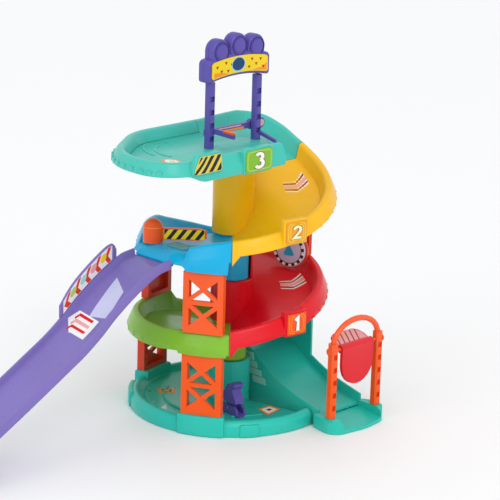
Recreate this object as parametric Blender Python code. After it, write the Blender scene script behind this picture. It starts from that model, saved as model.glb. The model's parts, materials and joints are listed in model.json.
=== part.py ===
"""Toy parking garage: a double spiral of half-round trays and ramps on a dish base.

Blender 4.5 script. World frame in metres, +Z up. The origin is on the axis of the spiral at
floor level. +X is the way a car rolls out through the exit gate. Angles are taken about the
axis, counter-clockwise from +X seen from above, and cars go down clockwise.
All sizes below are in millimetres and degrees.
"""

import math

import bmesh
import bpy
from mathutils import Matrix, Vector

MM = 0.001
GAP = 0.3                    # clearance between pieces that meet

# Spiral track
TRACK_R = 101.0              # outer radius of a rim at its top
HUB_R = 21.5                 # outer radius of the central column
COLLAR_R = 17.0              # a tray's own neck, which hangs down into the column
NECK_Z_1 = 52.0              # lower ends of the two necks
NECK_Z_2 = 138.0
BACK_WALL_DEG0 = 40.0        # a wall stands behind the second neck from here ...
BACK_WALL_DEG1 = 134.0
SEAT_R = 13.5                # inner radius of the ring that a neck stands on
COLUMN_WALL = 2.4
FLOOR_T = 2.4                # floors and skirts
LEVEL_1_Z = 94.0             # floor of the first tray
LEVEL_RISE = 93.0            # from one floor to the next
RIM_H = 16.0                 # rim over floor
RIM_W = 8.0                  # rim width at its top
RIM_SLOPE = 4.0              # how far the inner face of a rim leans out
FLARE = 5.0                  # how far a skirt stands out under its rim
SKIRT_H = 20.0               # rim top to the lower edge of its skirt
YELLOW_SKIRT_H = 14.5        # the same on the two ramps
RED_SKIRT_H = 17.3
TRAY_SEAT_R = 15.8           # a tray floor reaches in to its neck
TRAY_BACK = 135.0            # a tray runs from here ...
TRAY_FRONT = 315.0           # ... to here
ARC_STEP = 7.5
YELLOW_SWELL = -1.5          # a ramp's outer radius grows by this at mid turn
RED_SWELL = -7.0
RED_DROP = [(135.0, 0.43), (77.0, 0.56), (65.0, 0.60), (30.0, 0.72), (14.0, 0.78), (-45.0, 1.0)]
YELLOW_DROP = [(135.0, 0.0), (118.0, 0.07), (106.0, 0.17), (92.0, 0.32), (59.0, 0.55), (33.0, 0.68),
               (7.0, 0.81), (-15.0, 0.915), (-45.0, 1.0)]

# Floors and rim tops of the two trays, as angle and height
TRAY_1_FLOOR = [(315.0, 94.0), (270.0, 92.5), (246.0, 91.0), (209.0, 88.0), (180.0, 79.5),
                (156.0, 70.0), (135.0, 63.0)]
TRAY_1_RIM = [(315.0, 106.5), (286.0, 106.5), (270.0, 104.0), (220.0, 102.0), (206.0, 101.0), (178.0, 101.0),
              (173.0, 90.0), (148.0, 79.0), (135.0, 75.0)]
TRAY_2_FLOOR = [(315.0, 187.0), (290.0, 185.0), (248.0, 185.0), (219.0, 180.0), (200.0, 176.0),
                (186.0, 171.0), (166.0, 161.5), (148.0, 152.0), (135.0, 147.0)]
TRAY_2_RIM = [(315.0, 203.0), (300.0, 198.0), (287.0, 192.0), (243.0, 192.0), (200.0, 190.5),
              (186.0, 184.0), (166.0, 173.5), (148.0, 164.0), (135.0, 159.0)]
TRAY_2_OUT = [(315.0, 0.0), (287.0, 0.0), (246.0, -4.0), (225.0, -9.0), (204.0, -9.0), (178.0, -8.0),
              (160.0, -4.0), (135.0, 0.0)]     # added to the radius of the second tray
RIM_START_H = 12.0           # rim of the red ramp where it begins
REAR_COLLAR_Z_1 = 69.0
REAR_COLLAR_Z_2 = 154.0
FRONT_COLLAR_Z_1 = 84.0
FRONT_COLLAR_Z_2 = 170.0
REAR_TOWER_FOOT_Z = 101.0

# Tower collars and sockets
COLLAR_INNER_R = TRACK_R - 11.0
TOWER_R = TRACK_R - 3.0      # middle of a tower's thickness
REAR_UPPER_R = TRACK_R - 7.0
TOWER_W = 41.5
TOWER_T = 9.0
TOWER_POST = 6.0
TOWER_BAR = 4.4
TOWER_WEB = 3.2              # the braces are a thin web on the outer side, between deeper posts
FRONT_TOWER_DEG = 299.5
REAR_TOWER_DEG = 192.0
SOCKET_HALF_DEG = 13.5
SOCKET_Z = 21.0
NOTCH_H = 10.0               # a ramp's skirt reaches this much lower at its foot
NOTCH_DEG = 4.6

# Base
BASE_R = TRACK_R + 2.0
BASE_FLOOR_Z = 9.0
BASE_RIM_Z = 16.0
BASE_RIM_W = 9.0
BASE_END_DEG = 371.0         # the dish runs from TRAY_BACK to here
SOCKET_R = TRACK_R + FLARE

# Exit ramp and gate
EXIT_IN_Y = 22.0             # inner face of the lane
EXIT_OUT_Y = 84.0
EXIT_WALL = 2.4
EXIT_END_X = 108.0
EXIT_END_Z = 8.0
EXIT_LINE = [(0.0, 63.0), (45.0, 54.0), (80.0, 34.0), (110.0, 21.0), (153.0, 10.0)]
EXIT_RIDGE_H = 5.0
EXIT_RIM_H = 9.0
TALL_WALL_X = 35.0           # the tall wall under the red ramp ends here
TALL_WALL_DEG = 103.0        # and begins here
APRON_L = 38.0
APRON_Y0 = 9.0
APRON_Y1 = 106.0
APRON_TIP_Z = 3.0
APRON_SIDE_Z = 8.0            # its two sides slope down to this height
APRON_CORNER = 20.0
GATE_X = 127.0
GATE_Y = 53.0
GATE_SPAN = 66.0             # between post centres
GATE_POST = 8.5
GATE_FOOT_Z = 14.0
GATE_HINGE_H = 71.0
GATE_ARCH_H = 31.0           # arch top over the hinge
GATE_ARCH_TUBE = 6.0
RECESS = 5.4                 # square recesses in the gate and gantry posts
RECESS_DEPTH = 3.0
RECESS_PITCH = 13.5
FLAP_W = 46.0
FLAP_DROP = 40.0
FLAP_T = 3.4
FLAP_FORWARD = 2.3           # the hanging half stands this far in front of its hinge
FLAP_WING_L = 21.0
FLAP_WING_T = 1.8
FLAP_WING_DEG = 25.0         # the striped half leans back at this angle over level
PIN_R = 2.0
PIN_CLEAR = 0.4

# Top deck
DECK_BACK_X = -65.0
DECK_FRONT_X = 67.0
DECK_END_Y = -157.0
DECK_RIM_H = 11.0
DECK_SKIRT_LOW = 13.0
DECK_SKIRT_HIGH = 21.0
DECK_PAD_Y = 33.0            # floor beside the column that carries the right post
DECK_LANE_START = 180.0      # the deck's own lane runs from here ...
DECK_LANE_END = 90.0         # ... to here

# Gantry
GANTRY_X = 4.0
GANTRY_Y = -8.0
GANTRY_SPAN = 65.5
GANTRY_POST = 8.5
GANTRY_POST_H = 66.8
GANTRY_RECESS_W = 6.4
SIGN_W = 86.0
SIGN_H = 22.8
SIGN_D = 15.0
SIGN_RISE = 5.0              # how far the sign bows up at its middle
SIGN_SINK = 0.7              # its lower edge is bowed over the post tops by this much
LAMP_R = 12.0
LAMP_PITCH = 24.5
LAMP_LIFT = 13.4             # lamp centre over the sign
LAMP_STEP = 2.0              # the outer lamps sit lower by this much
BOOM_H = 14.0                # boom axis over the deck
BOOM_T = 4.0
BOOM_BAR_H = 6.0
BOOM_TAIL = 12.0
BOOM_DISC_R = 5.5
RAIL_T = 3.0
RAIL_LEFT = [(0.0, 15.0), (30.5, 14.4), (30.5, 20.2), (0.0, 20.4)]     # along and up, from the post
RAIL_RIGHT = [(0.0, 5.0), (24.0, 0.0), (24.0, 3.2), (0.0, 9.0)]

# Side ramp
SIDE_X0 = -33.0              # outer faces of its two walls
SIDE_X1 = 23.0
SIDE_TONGUE = 6.0            # how far the slide reaches under the tray's lip
SIDE_TOP_Y = -(TRACK_R + 6.0)    # where the tray's lip ends
SIDE_RIM_H = 6.0             # walls over the floor, square to it
SIDE_SKIRT = 4.2             # and below it
SIDE_OPEN_DEG0 = 246.0       # the opening in the second tray's rim, with room for the knob
SIDE_OPEN_DEG1 = 287.0
SIDE_RUN = [(0.0, 174.5), (12.7, 172.8), (22.7, 169.0), (42.7, 158.4), (72.7, 138.4),
            (92.7, 122.0), (112.7, 108.0), (132.7, 96.5), (192.7, 63.0), (252.7, 31.0),
            (292.7, 10.5), (307.7, 4.0)]    # distance from its upper end, height of its floor
FIN_RISE = [(24.2, 9.0), (28.7, 17.5), (38.7, 20.0), (69.7, 19.5), (86.7, 17.5), (96.7, 13.0)]
FIN_T = 2.4

# Diverter gate
DIVERTER_X = -26.0
DIVERTER_Y = -(TRACK_R - 14.0)
DIVERTER_KNOB_R = 10.0
DIVERTER_KNOB_H = 24.0
DIVERTER_ARM_L = 54.0
DIVERTER_ARM_H = 12.0
DIVERTER_ARM_T = 4.5
DIVERTER_ARM_Z = 2.5         # arm over the floor
DIVERTER_DEG = 44.0

# Parking sign
SIGN_TOWER_DEG0 = 74.0
SIGN_TOWER_DEG1 = 88.0
SIGN_TOWER_R0 = TRACK_R - 10.3
SIGN_TOWER_R1 = TRACK_R - 6.8
PARKING_SIGN_X = 14.8
PARKING_SIGN_Y = TRACK_R - 31.3
PARKING_SIGN_Z = 157.1
PARKING_SIGN_R = 18.0
PARKING_SIGN_T = 3.0
PARKING_CASE_R = 20.0        # disc behind the sign
PARKING_CASE_T = 3.0
PARKING_SIGN_YAW = -70.0     # the way its face looks

# Service lever on the base
LEVER_X = 42.0
LEVER_Y = -35.0
LEVER_YAW = -10.0
LEVER_STEM_W = 6.0           # width of the part that turns between the cheeks
LEVER_GRIP_W = 11.0
LEVER_SWING = 12.0           # the grip's underside clears the cheeks up to this angle
LEVER_AXIS_Z = 6.5           # lever axis over the base floor
LEVER_PIN_R = 1.5
CHEEK_T = 2.8

# Tags, plates and tiles
TAG_T = 1.0
TILE_T = 1.2
TILE_AT = (6.0, -79.0)
TILE_YAW = 0.0
BACKING_STEP = 1.6           # a backing stands this far out of its skirt
BACKING_EDGE = 1.8           # and shows this much round its plate
DECK_PLATES = [("hazard_plate", -128.5, -90.0, -0.5, 16.5, 8.0, 2.5, "yellow"),
               ("level_tag_3", -58.0, -22.0, -9.5, 12.5, 0.0, 0.0, "lime")]
TAG_SPAN = 13.5              # the tags on the two ramps, in degrees along the skirt
TAG_1_AT = (-4.75, 6.0)      # middle of a tag: its angle and its height over the floor
TAG_2_AT = (-8.5, 13.3)
TAG_H = 25.5                 # height of the raised backing behind a tag

COLOURS = {
    "teal": (0.105, 0.560, 0.480),
    "pale_teal": (0.150, 0.600, 0.530),
    "lime": (0.270, 0.580, 0.060),
    "blue": (0.000, 0.420, 0.700),
    "red": (0.760, 0.015, 0.020),
    "yellow": (0.930, 0.520, 0.008),
    "orange": (0.900, 0.130, 0.025),
    "brick": (0.700, 0.060, 0.020),
    "purple": (0.115, 0.085, 0.430),
    "violet": (0.200, 0.130, 0.480),
    "grey": (0.420, 0.450, 0.450),
    "white": (0.850, 0.850, 0.850),
    "steel": (0.600, 0.600, 0.610),
}


def clear_scene():
    for obj in list(bpy.data.objects):
        bpy.data.objects.remove(obj, do_unlink=True)


def material(colour):
    """One moulded plastic, or the steel of the screws."""
    mat = bpy.data.materials.get(colour)
    if mat:
        return mat
    mat = bpy.data.materials.new(colour)
    mat.use_nodes = True
    shader = mat.node_tree.nodes["Principled BSDF"]
    shader.inputs["Base Color"].default_value = (*COLOURS[colour], 1.0)
    shader.inputs["Roughness"].default_value = 0.3
    shader.inputs["Metallic"].default_value = 1.0 if colour == "steel" else 0.0
    return mat


def finish(name, bm, colour, place=(0.0, 0.0, 0.0), turn=0.0, smooth=35.0):
    """Turn a bmesh in millimetres into a named object at its place."""
    bmesh.ops.recalc_face_normals(bm, faces=bm.faces)
    bmesh.ops.scale(bm, vec=(MM, MM, MM), verts=bm.verts)
    mesh = bpy.data.meshes.new(name)
    bm.to_mesh(mesh)
    bm.free()
    mesh.shade_smooth()
    mesh.set_sharp_from_angle(angle=math.radians(smooth))
    mesh.materials.append(material(colour))
    obj = bpy.data.objects.new(name, mesh)
    obj.location = Vector(place) * MM
    obj.rotation_euler = (0.0, 0.0, math.radians(turn))
    bpy.context.scene.collection.objects.link(obj)
    return obj


def boolean(target, tool, operation):
    """Join a tool object to the target, or cut the target with it."""
    tool.hide_render = True
    tool.display_type = "WIRE"
    mod = target.modifiers.new(operation.lower(), "BOOLEAN")
    mod.operation = operation
    mod.solver = "EXACT"
    mod.object = tool


def loft(sections):
    """Skin a row of like outlines and cap both ends."""
    bm = bmesh.new()
    rows = [[bm.verts.new(point) for point in section] for section in sections]
    for first, second in zip(rows, rows[1:]):
        for i in range(len(first)):
            j = (i + 1) % len(first)
            bm.faces.new((first[i], first[j], second[j], second[i]))
    bm.faces.new(rows[0])
    bm.faces.new(list(reversed(rows[-1])))
    return bm


def prism(outline, z0, z1):
    """Stand a flat outline up between two heights."""
    return loft([[(x, y, z0) for x, y in outline], [(x, y, z1) for x, y in outline]])


def side_prism(outline, x0, x1):
    """Carry an outline in Y and Z along X."""
    return loft([[(x0, y, z) for y, z in outline], [(x1, y, z) for y, z in outline]])


def join(target, other):
    """Add another bmesh's solids to the target."""
    mesh = bpy.data.meshes.new("scratch")
    other.to_mesh(mesh)
    other.free()
    target.from_mesh(mesh)
    bpy.data.meshes.remove(mesh)


def box(x0, x1, y0, y1, z0, z1):
    return prism([(x0, y0), (x1, y0), (x1, y1), (x0, y1)], z0, z1)


def circle(radius, count, cx=0.0, cy=0.0, start=0.0):
    step = 2.0 * math.pi / count
    return [(cx + radius * math.cos(start + i * step), cy + radius * math.sin(start + i * step))
            for i in range(count)]


def arc(cx, cy, radius, deg0, deg1, count):
    """Points along an arc, both ends included."""
    points = []
    for i in range(count + 1):
        a = math.radians(deg0 + (deg1 - deg0) * i / count)
        points.append((cx + radius * math.cos(a), cy + radius * math.sin(a)))
    return points


def turned(profile, count=40):
    """Spin a closed outline in radius and height about Z; points at radius 0 close a disc."""
    bm = bmesh.new()
    rings = []
    for radius, z in profile:
        if radius == 0.0:
            rings.append([bm.verts.new((0.0, 0.0, z))])
        else:
            rings.append([bm.verts.new((x, y, z)) for x, y in circle(radius, count)])
    for first, second in zip(rings, rings[1:] + rings[:1]):
        if len(first) == 1 and len(second) == 1:
            continue
        for i in range(count):
            j = (i + 1) % count
            if len(first) == 1:
                bm.faces.new((first[0], second[j], second[i]))
            elif len(second) == 1:
                bm.faces.new((first[i], first[j], second[0]))
            else:
                bm.faces.new((first[i], first[j], second[j], second[i]))
    return bm


def polar(radius, deg, z):
    a = math.radians(deg)
    return (radius * math.cos(a), radius * math.sin(a), z)


def stations(deg0, deg1, extra=()):
    """Angles from one end to the other at about ARC_STEP, with the extra ones put in."""
    count = max(1, round(abs(deg1 - deg0) / ARC_STEP))
    row = [deg0 + (deg1 - deg0) * i / count for i in range(count + 1)]
    row = [d for d in row if all(abs(d - e) > 1.5 for e in extra)]
    return sorted(set(row) | set(extra), reverse=deg1 < deg0)


def curve_at(points, x):
    """A smooth curve without overshoot through a few points, read at x."""
    row = sorted(points)
    if x <= row[0][0]:
        return row[0][1]
    if x >= row[-1][0]:
        return row[-1][1]
    slopes = [(b[1] - a[1]) / (b[0] - a[0]) for a, b in zip(row, row[1:])]
    tangents = [slopes[0]]
    for before, after in zip(slopes, slopes[1:]):
        same_way = before * after > 0.0
        tangents.append(2.0 * before * after / (before + after) if same_way else 0.0)
    tangents.append(slopes[-1])
    for i, (a, b) in enumerate(zip(row, row[1:])):
        if x <= b[0]:
            width = b[0] - a[0]
            t = (x - a[0]) / width
            start = (1.0 + 2.0 * t) * (1.0 - t) ** 2 * a[1] + t * (1.0 - t) ** 2 * width * tangents[i]
            end = t * t * (3.0 - 2.0 * t) * b[1] + t * t * (t - 1.0) * width * tangents[i + 1]
            return start + end
    return row[-1][1]


def level_z(level):
    return LEVEL_1_Z + LEVEL_RISE * (level - 1)


def red_z(deg):
    return level_z(2) - LEVEL_RISE * curve_at(RED_DROP, deg)


def yellow_z(deg):
    return level_z(3) - LEVEL_RISE * curve_at(YELLOW_DROP, deg)


def swell(deg, start, amount):
    """A ramp's outer radius, swelling by an amount half way down."""
    return TRACK_R + amount * math.sin(math.pi * (start - deg) / (start + 360.0 - TRAY_FRONT))


def rim_profile(outer, inner, rim=RIM_H, skirt=SKIRT_H):
    """Floor, hollow rim and skirt as radius and height over the floor."""
    t = FLOOR_T
    edge = outer + FLARE
    shoulder = min(13.0, skirt - 2.0)
    foot = outer - RIM_W - RIM_SLOPE
    return [
        (inner, 0.0), (foot, 0.0), (outer - RIM_W, rim - 2.0), (outer - RIM_W + 2.0, rim),
        (outer - 1.5, rim), (outer, rim - 1.5), (edge, rim - shoulder), (edge, rim - skirt),
        (edge - t, rim - skirt), (edge - t, rim - shoulder - 0.4), (outer - t, rim - t - 1.0),
        (outer - RIM_W + t, rim - t - 1.0), (foot + 3.0, -t), (inner, -t),
    ]


def lip_profile(outer, inner):
    """The same points laid flat: an open edge that slopes down a little."""
    t = FLOOR_T
    edge = outer + FLARE
    return [
        (inner, 0.0), (outer - 12.0, 0.0), (outer - 8.0, -0.8), (outer - 5.0, -1.8),
        (outer - 1.5, -3.4), (outer, -4.2), (outer + 2.5, -6.0), (edge, -8.0),
        (edge, -8.0 - t), (outer + 2.5, -6.0 - t), (outer - 1.5, -3.4 - t),
        (outer - 5.0, -1.8 - t), (outer - 9.0, -t), (inner, -t),
    ]


def collar_profile(outer, inner, drop, rim):
    """A rim whose skirt is a thick collar that reaches lower, to seat a tower."""
    points = rim_profile(outer, inner, rim)
    edge = outer + FLARE
    points[7] = (edge, -drop)
    points[8] = (COLLAR_INNER_R, -drop)
    points[9] = (COLLAR_INNER_R, -drop + 0.5)
    points[10] = (COLLAR_INNER_R, -FLOOR_T - 0.6)
    points[11] = (COLLAR_INNER_R - 0.2, -FLOOR_T - 0.3)
    points[12] = (COLLAR_INNER_R - 0.4, -FLOOR_T)
    return points


def place_profile(profile, deg, z):
    return [polar(radius, deg, z + height) for radius, height in profile]


def arc_block(r0, r1, deg0, deg1, z0, z1):
    """A block between two radii, two angles and two heights (numbers or functions)."""
    sections = []
    for deg in stations(deg0, deg1):
        low = z0(deg) if callable(z0) else z0
        high = z1(deg) if callable(z1) else z1
        sections.append([polar(r0, deg, low), polar(r1, deg, low),
                         polar(r1, deg, high), polar(r0, deg, high)])
    return loft(sections)


def seam(radius=60.0):
    """The angle that leaves half of GAP at a joint between two arcs."""
    return math.degrees(GAP / radius)


def tray(name, level, colour, floor, rim, out, collars, neck, opening=None):
    """A half-round tray with its neck, and collars for the two towers under it."""
    extra = []
    for low, high, bottom in collars:
        extra += [low - 0.6, low, high, high + 0.6]
    if opening:
        extra = [d for d in extra if abs(d - opening[1]) > 1.5]
        extra += [opening[0] - 3.0, opening[0], opening[1]]
    sections = []
    for deg in stations(TRAY_BACK + seam(), TRAY_FRONT - seam(), tuple(sorted(set(extra)))):
        z = curve_at(floor, deg)
        outer = TRACK_R + curve_at(out, deg)
        profile = rim_profile(outer, TRAY_SEAT_R, curve_at(rim, deg) - z)
        for low, high, bottom in collars:
            if low <= deg <= high:
                profile = collar_profile(outer, TRAY_SEAT_R, z - bottom, curve_at(rim, deg) - z)
        if opening and opening[0] <= deg <= opening[1]:
            reach = -SIDE_TOP_Y / abs(math.sin(math.radians(deg))) - FLARE
            side = (reach + FLARE) * math.cos(math.radians(deg))
            if side < SIDE_X0 or side > SIDE_X1:
                reach = TRACK_R
            profile = lip_profile(reach, TRAY_SEAT_R)
        sections.append(place_profile(profile, deg, z))
    obj = finish(name, loft(sections), colour)
    z = level_z(level)
    inner = COLLAR_R - COLUMN_WALL
    disc = HUB_R - 0.5 * COLUMN_WALL - 2.0 * GAP
    tube = turned([(0.0, z), (disc, z), (disc, z - FLOOR_T), (COLLAR_R, z - FLOOR_T), (COLLAR_R, neck),
                   (inner, neck), (inner, z - FLOOR_T), (0.0, z - FLOOR_T)])
    boolean(obj, finish(name + "_neck", tube, colour), "UNION")
    return obj


def column(z0, z1, seat=None):
    """A hollow column; with a seat its upper end is drawn in to a ring."""
    inner = HUB_R - COLUMN_WALL
    if seat:
        return turned([(HUB_R, z0), (HUB_R, z1), (seat, z1), (seat, z1 - COLUMN_WALL),
                       (inner, z1 - COLUMN_WALL), (inner, z0)])
    return turned([(HUB_R, z0), (HUB_R, z1), (inner, z1), (inner, z0)])


def ramp(name, colour, deg0, height, amount, skirt, level, tube, tag_at, start_rim=RIM_H):
    """A falling half turn with its rim, in one piece with its column."""
    deg1 = TRAY_FRONT - 360.0
    inner = HUB_R - 0.5 * COLUMN_WALL
    sections = []
    for deg in stations(deg0 - seam(), deg1 + seam(), (deg1 + NOTCH_DEG,)):
        foot = max(0.0, 1.0 - (deg - deg1) / NOTCH_DEG)
        rim = curve_at([(deg0 - 40.0, RIM_H), (deg0, start_rim)], deg)
        profile = rim_profile(swell(deg, deg0, amount), inner, rim, skirt + NOTCH_H * foot)
        sections.append(place_profile(profile, deg, height(deg)))
    obj = finish(name, loft(sections), colour)
    boolean(obj, finish(name + "_column", tube, colour), "UNION")
    mid, lift = tag_at
    half = TAG_SPAN / 2.0
    face = swell(mid, deg0, amount) + FLARE + 1.2
    z = height(mid) + lift
    backing = arc_block(face - 9.0, face, mid - half - 1.2, mid + half + 1.2, z - TAG_H / 2.0, z + TAG_H / 2.0)
    boolean(obj, finish(name + "_tag_backing", backing, colour), "UNION")
    tag = arc_block(face + GAP, face + GAP + TAG_T, mid - half, mid + half,
                    z - TAG_H / 2.0 + 2.0, z + TAG_H / 2.0 - 2.0)
    finish("level_tag_" + str(level), tag, "orange")
    return obj


def level_1_and_2():
    front = (FRONT_TOWER_DEG - SOCKET_HALF_DEG, FRONT_TOWER_DEG + SOCKET_HALF_DEG)
    rear = (REAR_TOWER_DEG - SOCKET_HALF_DEG, REAR_TOWER_DEG + SOCKET_HALF_DEG)
    tray("level_1_tray", 1, "lime", TRAY_1_FLOOR, TRAY_1_RIM, [(TRAY_FRONT, 0.0), (TRAY_BACK, 0.0)],
         [(*front, FRONT_COLLAR_Z_1), (*rear, REAR_COLLAR_Z_1)], NECK_Z_1)
    opening = (SIDE_OPEN_DEG0, SIDE_OPEN_DEG1)
    blue = tray("level_2_tray", 2, "blue", TRAY_2_FLOOR, TRAY_2_RIM, TRAY_2_OUT,
                [(*front, FRONT_COLLAR_Z_2), (*rear, REAR_COLLAR_Z_2)], NECK_Z_2, opening)
    hole = prism(circle(PIN_R + PIN_CLEAR, 16, DIVERTER_X, DIVERTER_Y),
                 tray_2_z() - 3.0 * FLOOR_T, tray_2_z() + FLOOR_T)
    boolean(blue, finish("pin_hole", hole, "blue"), "DIFFERENCE")
    red_tube = column(LEVEL_1_Z + GAP, NECK_Z_2 - GAP, SEAT_R)
    red = ramp("red_ramp", "red", TRAY_BACK, red_z, RED_SWELL, RED_SKIRT_H, 1, red_tube, TAG_1_AT, RIM_START_H)
    back = arc_block(HUB_R - COLUMN_WALL, HUB_R, BACK_WALL_DEG0, BACK_WALL_DEG1, NECK_Z_2 - 8.0,
                     level_z(2) - FLOOR_T - GAP)
    boolean(red, finish("red_back_wall", back, "red"), "UNION")
    yellow_tube = column(level_z(2) + GAP, level_z(3) - FLOOR_T - GAP)
    ramp("yellow_ramp", "yellow", DECK_LANE_END, yellow_z, YELLOW_SWELL, YELLOW_SKIRT_H, 2, yellow_tube, TAG_2_AT)


def tray_2_z():
    """The level stretch of the second tray's floor, at the diverter."""
    return curve_at(TRAY_2_FLOOR, 270.0)


def rounded(corners, arc_count=5):
    """A closed outline from corners given as x, y, radius."""
    points = []
    for i, (x, y, radius) in enumerate(corners):
        if radius == 0.0:
            points.append((x, y))
            continue
        here = Vector((x, y))
        before = (Vector(corners[i - 1][:2]) - here).normalized()
        after = (Vector(corners[(i + 1) % len(corners)][:2]) - here).normalized()
        half = before.angle(after) / 2.0
        centre = here + (before + after).normalized() * (radius / math.sin(half))
        start = here + before * (radius / math.tan(half)) - centre
        end = here + after * (radius / math.tan(half)) - centre
        a0 = math.atan2(start.y, start.x)
        a1 = math.atan2(end.y, end.x)
        if a1 - a0 > math.pi:
            a1 -= 2.0 * math.pi
        if a0 - a1 > math.pi:
            a1 += 2.0 * math.pi
        for k in range(arc_count + 1):
            a = a0 + (a1 - a0) * k / arc_count
            points.append((centre.x + radius * math.cos(a), centre.y + radius * math.sin(a)))
    return points


def deck_path():
    """The line of the platform's rim: back edge, left end and front edge."""
    corners = [(DECK_BACK_X, -GAP / 2.0, 0.0), (DECK_BACK_X, -85.0, 70.0), (-14.0, DECK_END_Y, 75.0),
               (DECK_FRONT_X, DECK_END_Y, 34.0), (DECK_FRONT_X, 0.0, 0.0)]
    points = rounded(corners)
    path = [points[0]]
    for point in points[1:]:
        here = Vector(point)
        gap = (here - Vector(path[-1])).length
        if point[0] > 40.0 and gap > 30.0:
            count = int(gap // 15.0)
            start = Vector(path[-1])
            path += [tuple(start + (here - start) * i / count) for i in range(1, count)]
        path.append(point)
    return path


def top_deck():
    """The platform: floor, rim round its back, end and front, and a skirt that is deep in front."""
    z = level_z(3)
    path = deck_path()
    bm = bmesh.new()
    rows = []
    for i, point in enumerate(path):
        here = Vector(point)
        before = (here - Vector(path[i - 1])).normalized() if i > 0 else None
        after = (Vector(path[i + 1]) - here).normalized() if i < len(path) - 1 else None
        along = ((before or after) + (after or before)).normalized()
        out = Vector((along.y, -along.x))
        stretch = 1.0 / along.dot(before or after)
        deep = curve_at([(-130.0, 0.0), (-112.0, 1.0)], here.y) if here.x > 40.0 else 0.0
        skirt = DECK_SKIRT_LOW + (DECK_SKIRT_HIGH - DECK_SKIRT_LOW) * deep
        row = []
        for reach, height in rim_profile(0.0, -RIM_W - RIM_SLOPE - 1.0, DECK_RIM_H, skirt):
            spot = here + out * reach * stretch
            row.append(bm.verts.new((spot.x, spot.y, z + height)))
        rows.append(row)
    for first, second in zip(rows, rows[1:]):
        for a in range(len(first) - 1):
            bm.faces.new((first[a], first[a + 1], second[a + 1], second[a]))
    pad = [(DECK_FRONT_X - 20.0, 9.0), (14.0, DECK_PAD_Y), (0.5, DECK_PAD_Y)]
    pad += arc(0.0, 0.0, HUB_R, DECK_LANE_END - seam(HUB_R), DECK_LANE_START + seam(HUB_R), 8)
    top = [bm.verts.new((x, y, z)) for x, y in pad]
    low = [bm.verts.new((x, y, z - FLOOR_T)) for x, y in pad]
    bm.faces.new([row[0] for row in rows] + top)
    bm.faces.new([row[-1] for row in rows] + low)
    for a in range(len(pad) - 1):
        bm.faces.new((top[a], top[a + 1], low[a + 1], low[a]))
    bm.faces.new(rows[-1] + [low[0], top[0]])
    bm.faces.new(rows[0] + [low[-1], top[-1]])
    obj = finish("top_deck", bm, "pale_teal")
    face = DECK_FRONT_X + FLARE + BACKING_STEP
    e = BACKING_EDGE
    for name, y0, y1, z0, z1, lean0, lean1, colour in DECK_PLATES:
        backing = panel(y0 - e, y1 + e, z + z0 - e, z + z1 + e, DECK_FRONT_X - 5.0, face, lean0, lean1)
        boolean(obj, finish(name + "_backing", backing, "pale_teal"), "UNION")
        plate = panel(y0, y1, z + z0, z + z1, face + GAP, face + GAP + TAG_T, lean0, lean1)
        finish(name, plate, colour)
    return obj


def panel(y0, y1, z0, z1, x0, x1, lean0, lean1):
    """An upright panel with rounded corners, facing +X; its sides lean in by lean0 and lean1."""
    corners = [(y0, z0, 3.0), (y1, z0, 3.0), (y1 - lean1, z1, 3.0), (y0 + lean0, z1, 3.0)]
    return side_prism(rounded(corners, 2), x0, x1)


def deck_ramp():
    """The deck's own lane, which starts level and falls towards the yellow ramp."""
    sections = []
    for deg in stations(DECK_LANE_START - seam(), DECK_LANE_END + seam()):
        straight = DECK_BACK_X / math.cos(math.radians(deg)) if deg > 100.0 else 10.0 * TRACK_R
        outer = (straight ** -10.0 + TRACK_R ** -10.0) ** -0.1
        share = curve_at([(DECK_LANE_END, 1.0), (DECK_LANE_START - 10.0, 0.0)], deg)
        rim = DECK_RIM_H + (RIM_H - DECK_RIM_H) * share
        skirt = DECK_SKIRT_LOW + (YELLOW_SKIRT_H - DECK_SKIRT_LOW) * share
        profile = rim_profile(outer, HUB_R + GAP, rim, skirt)
        sections.append(place_profile(profile, deg, yellow_z(deg)))
    return finish("deck_ramp", loft(sections), "pale_teal")


def base():
    """Dish, tower sockets and the column's foot."""
    t = FLOOR_T
    profile = [(HUB_R + GAP, BASE_FLOOR_Z), (BASE_R - BASE_RIM_W - 5.0, BASE_FLOOR_Z),
               (BASE_R - BASE_RIM_W, BASE_RIM_Z), (BASE_R - 4.0, BASE_RIM_Z),
               (BASE_R, BASE_RIM_Z - 5.0), (BASE_R, 0.0), (BASE_R - t, 0.0),
               (BASE_R - t, BASE_RIM_Z - 6.0), (BASE_R - 5.0, BASE_RIM_Z - t),
               (BASE_R - BASE_RIM_W + 1.0, BASE_RIM_Z - t), (BASE_R - BASE_RIM_W - 3.5, BASE_FLOOR_Z - t),
               (HUB_R + GAP, BASE_FLOOR_Z - t)]
    sections = [place_profile(profile, deg, 0.0)
                for deg in stations(TRAY_BACK + seam(), BASE_END_DEG)]
    dish = finish("base_dish", loft(sections), "teal")
    for label, mid in (("front", FRONT_TOWER_DEG), ("rear", REAR_TOWER_DEG)):
        block = arc_block(COLLAR_INNER_R, SOCKET_R, mid - SOCKET_HALF_DEG, mid + SOCKET_HALF_DEG,
                          0.0, SOCKET_Z)
        boolean(dish, finish(label + "_socket", block, "teal"), "UNION")
    inner = HUB_R - COLUMN_WALL
    top = NECK_Z_1 - GAP
    hub = turned([(0.0, 0.0), (HUB_R, 0.0), (HUB_R, top), (SEAT_R, top), (SEAT_R, top - COLUMN_WALL),
                  (inner, top - COLUMN_WALL), (inner, COLUMN_WALL), (0.0, COLUMN_WALL)])
    finish("base_hub", hub, "teal")


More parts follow.
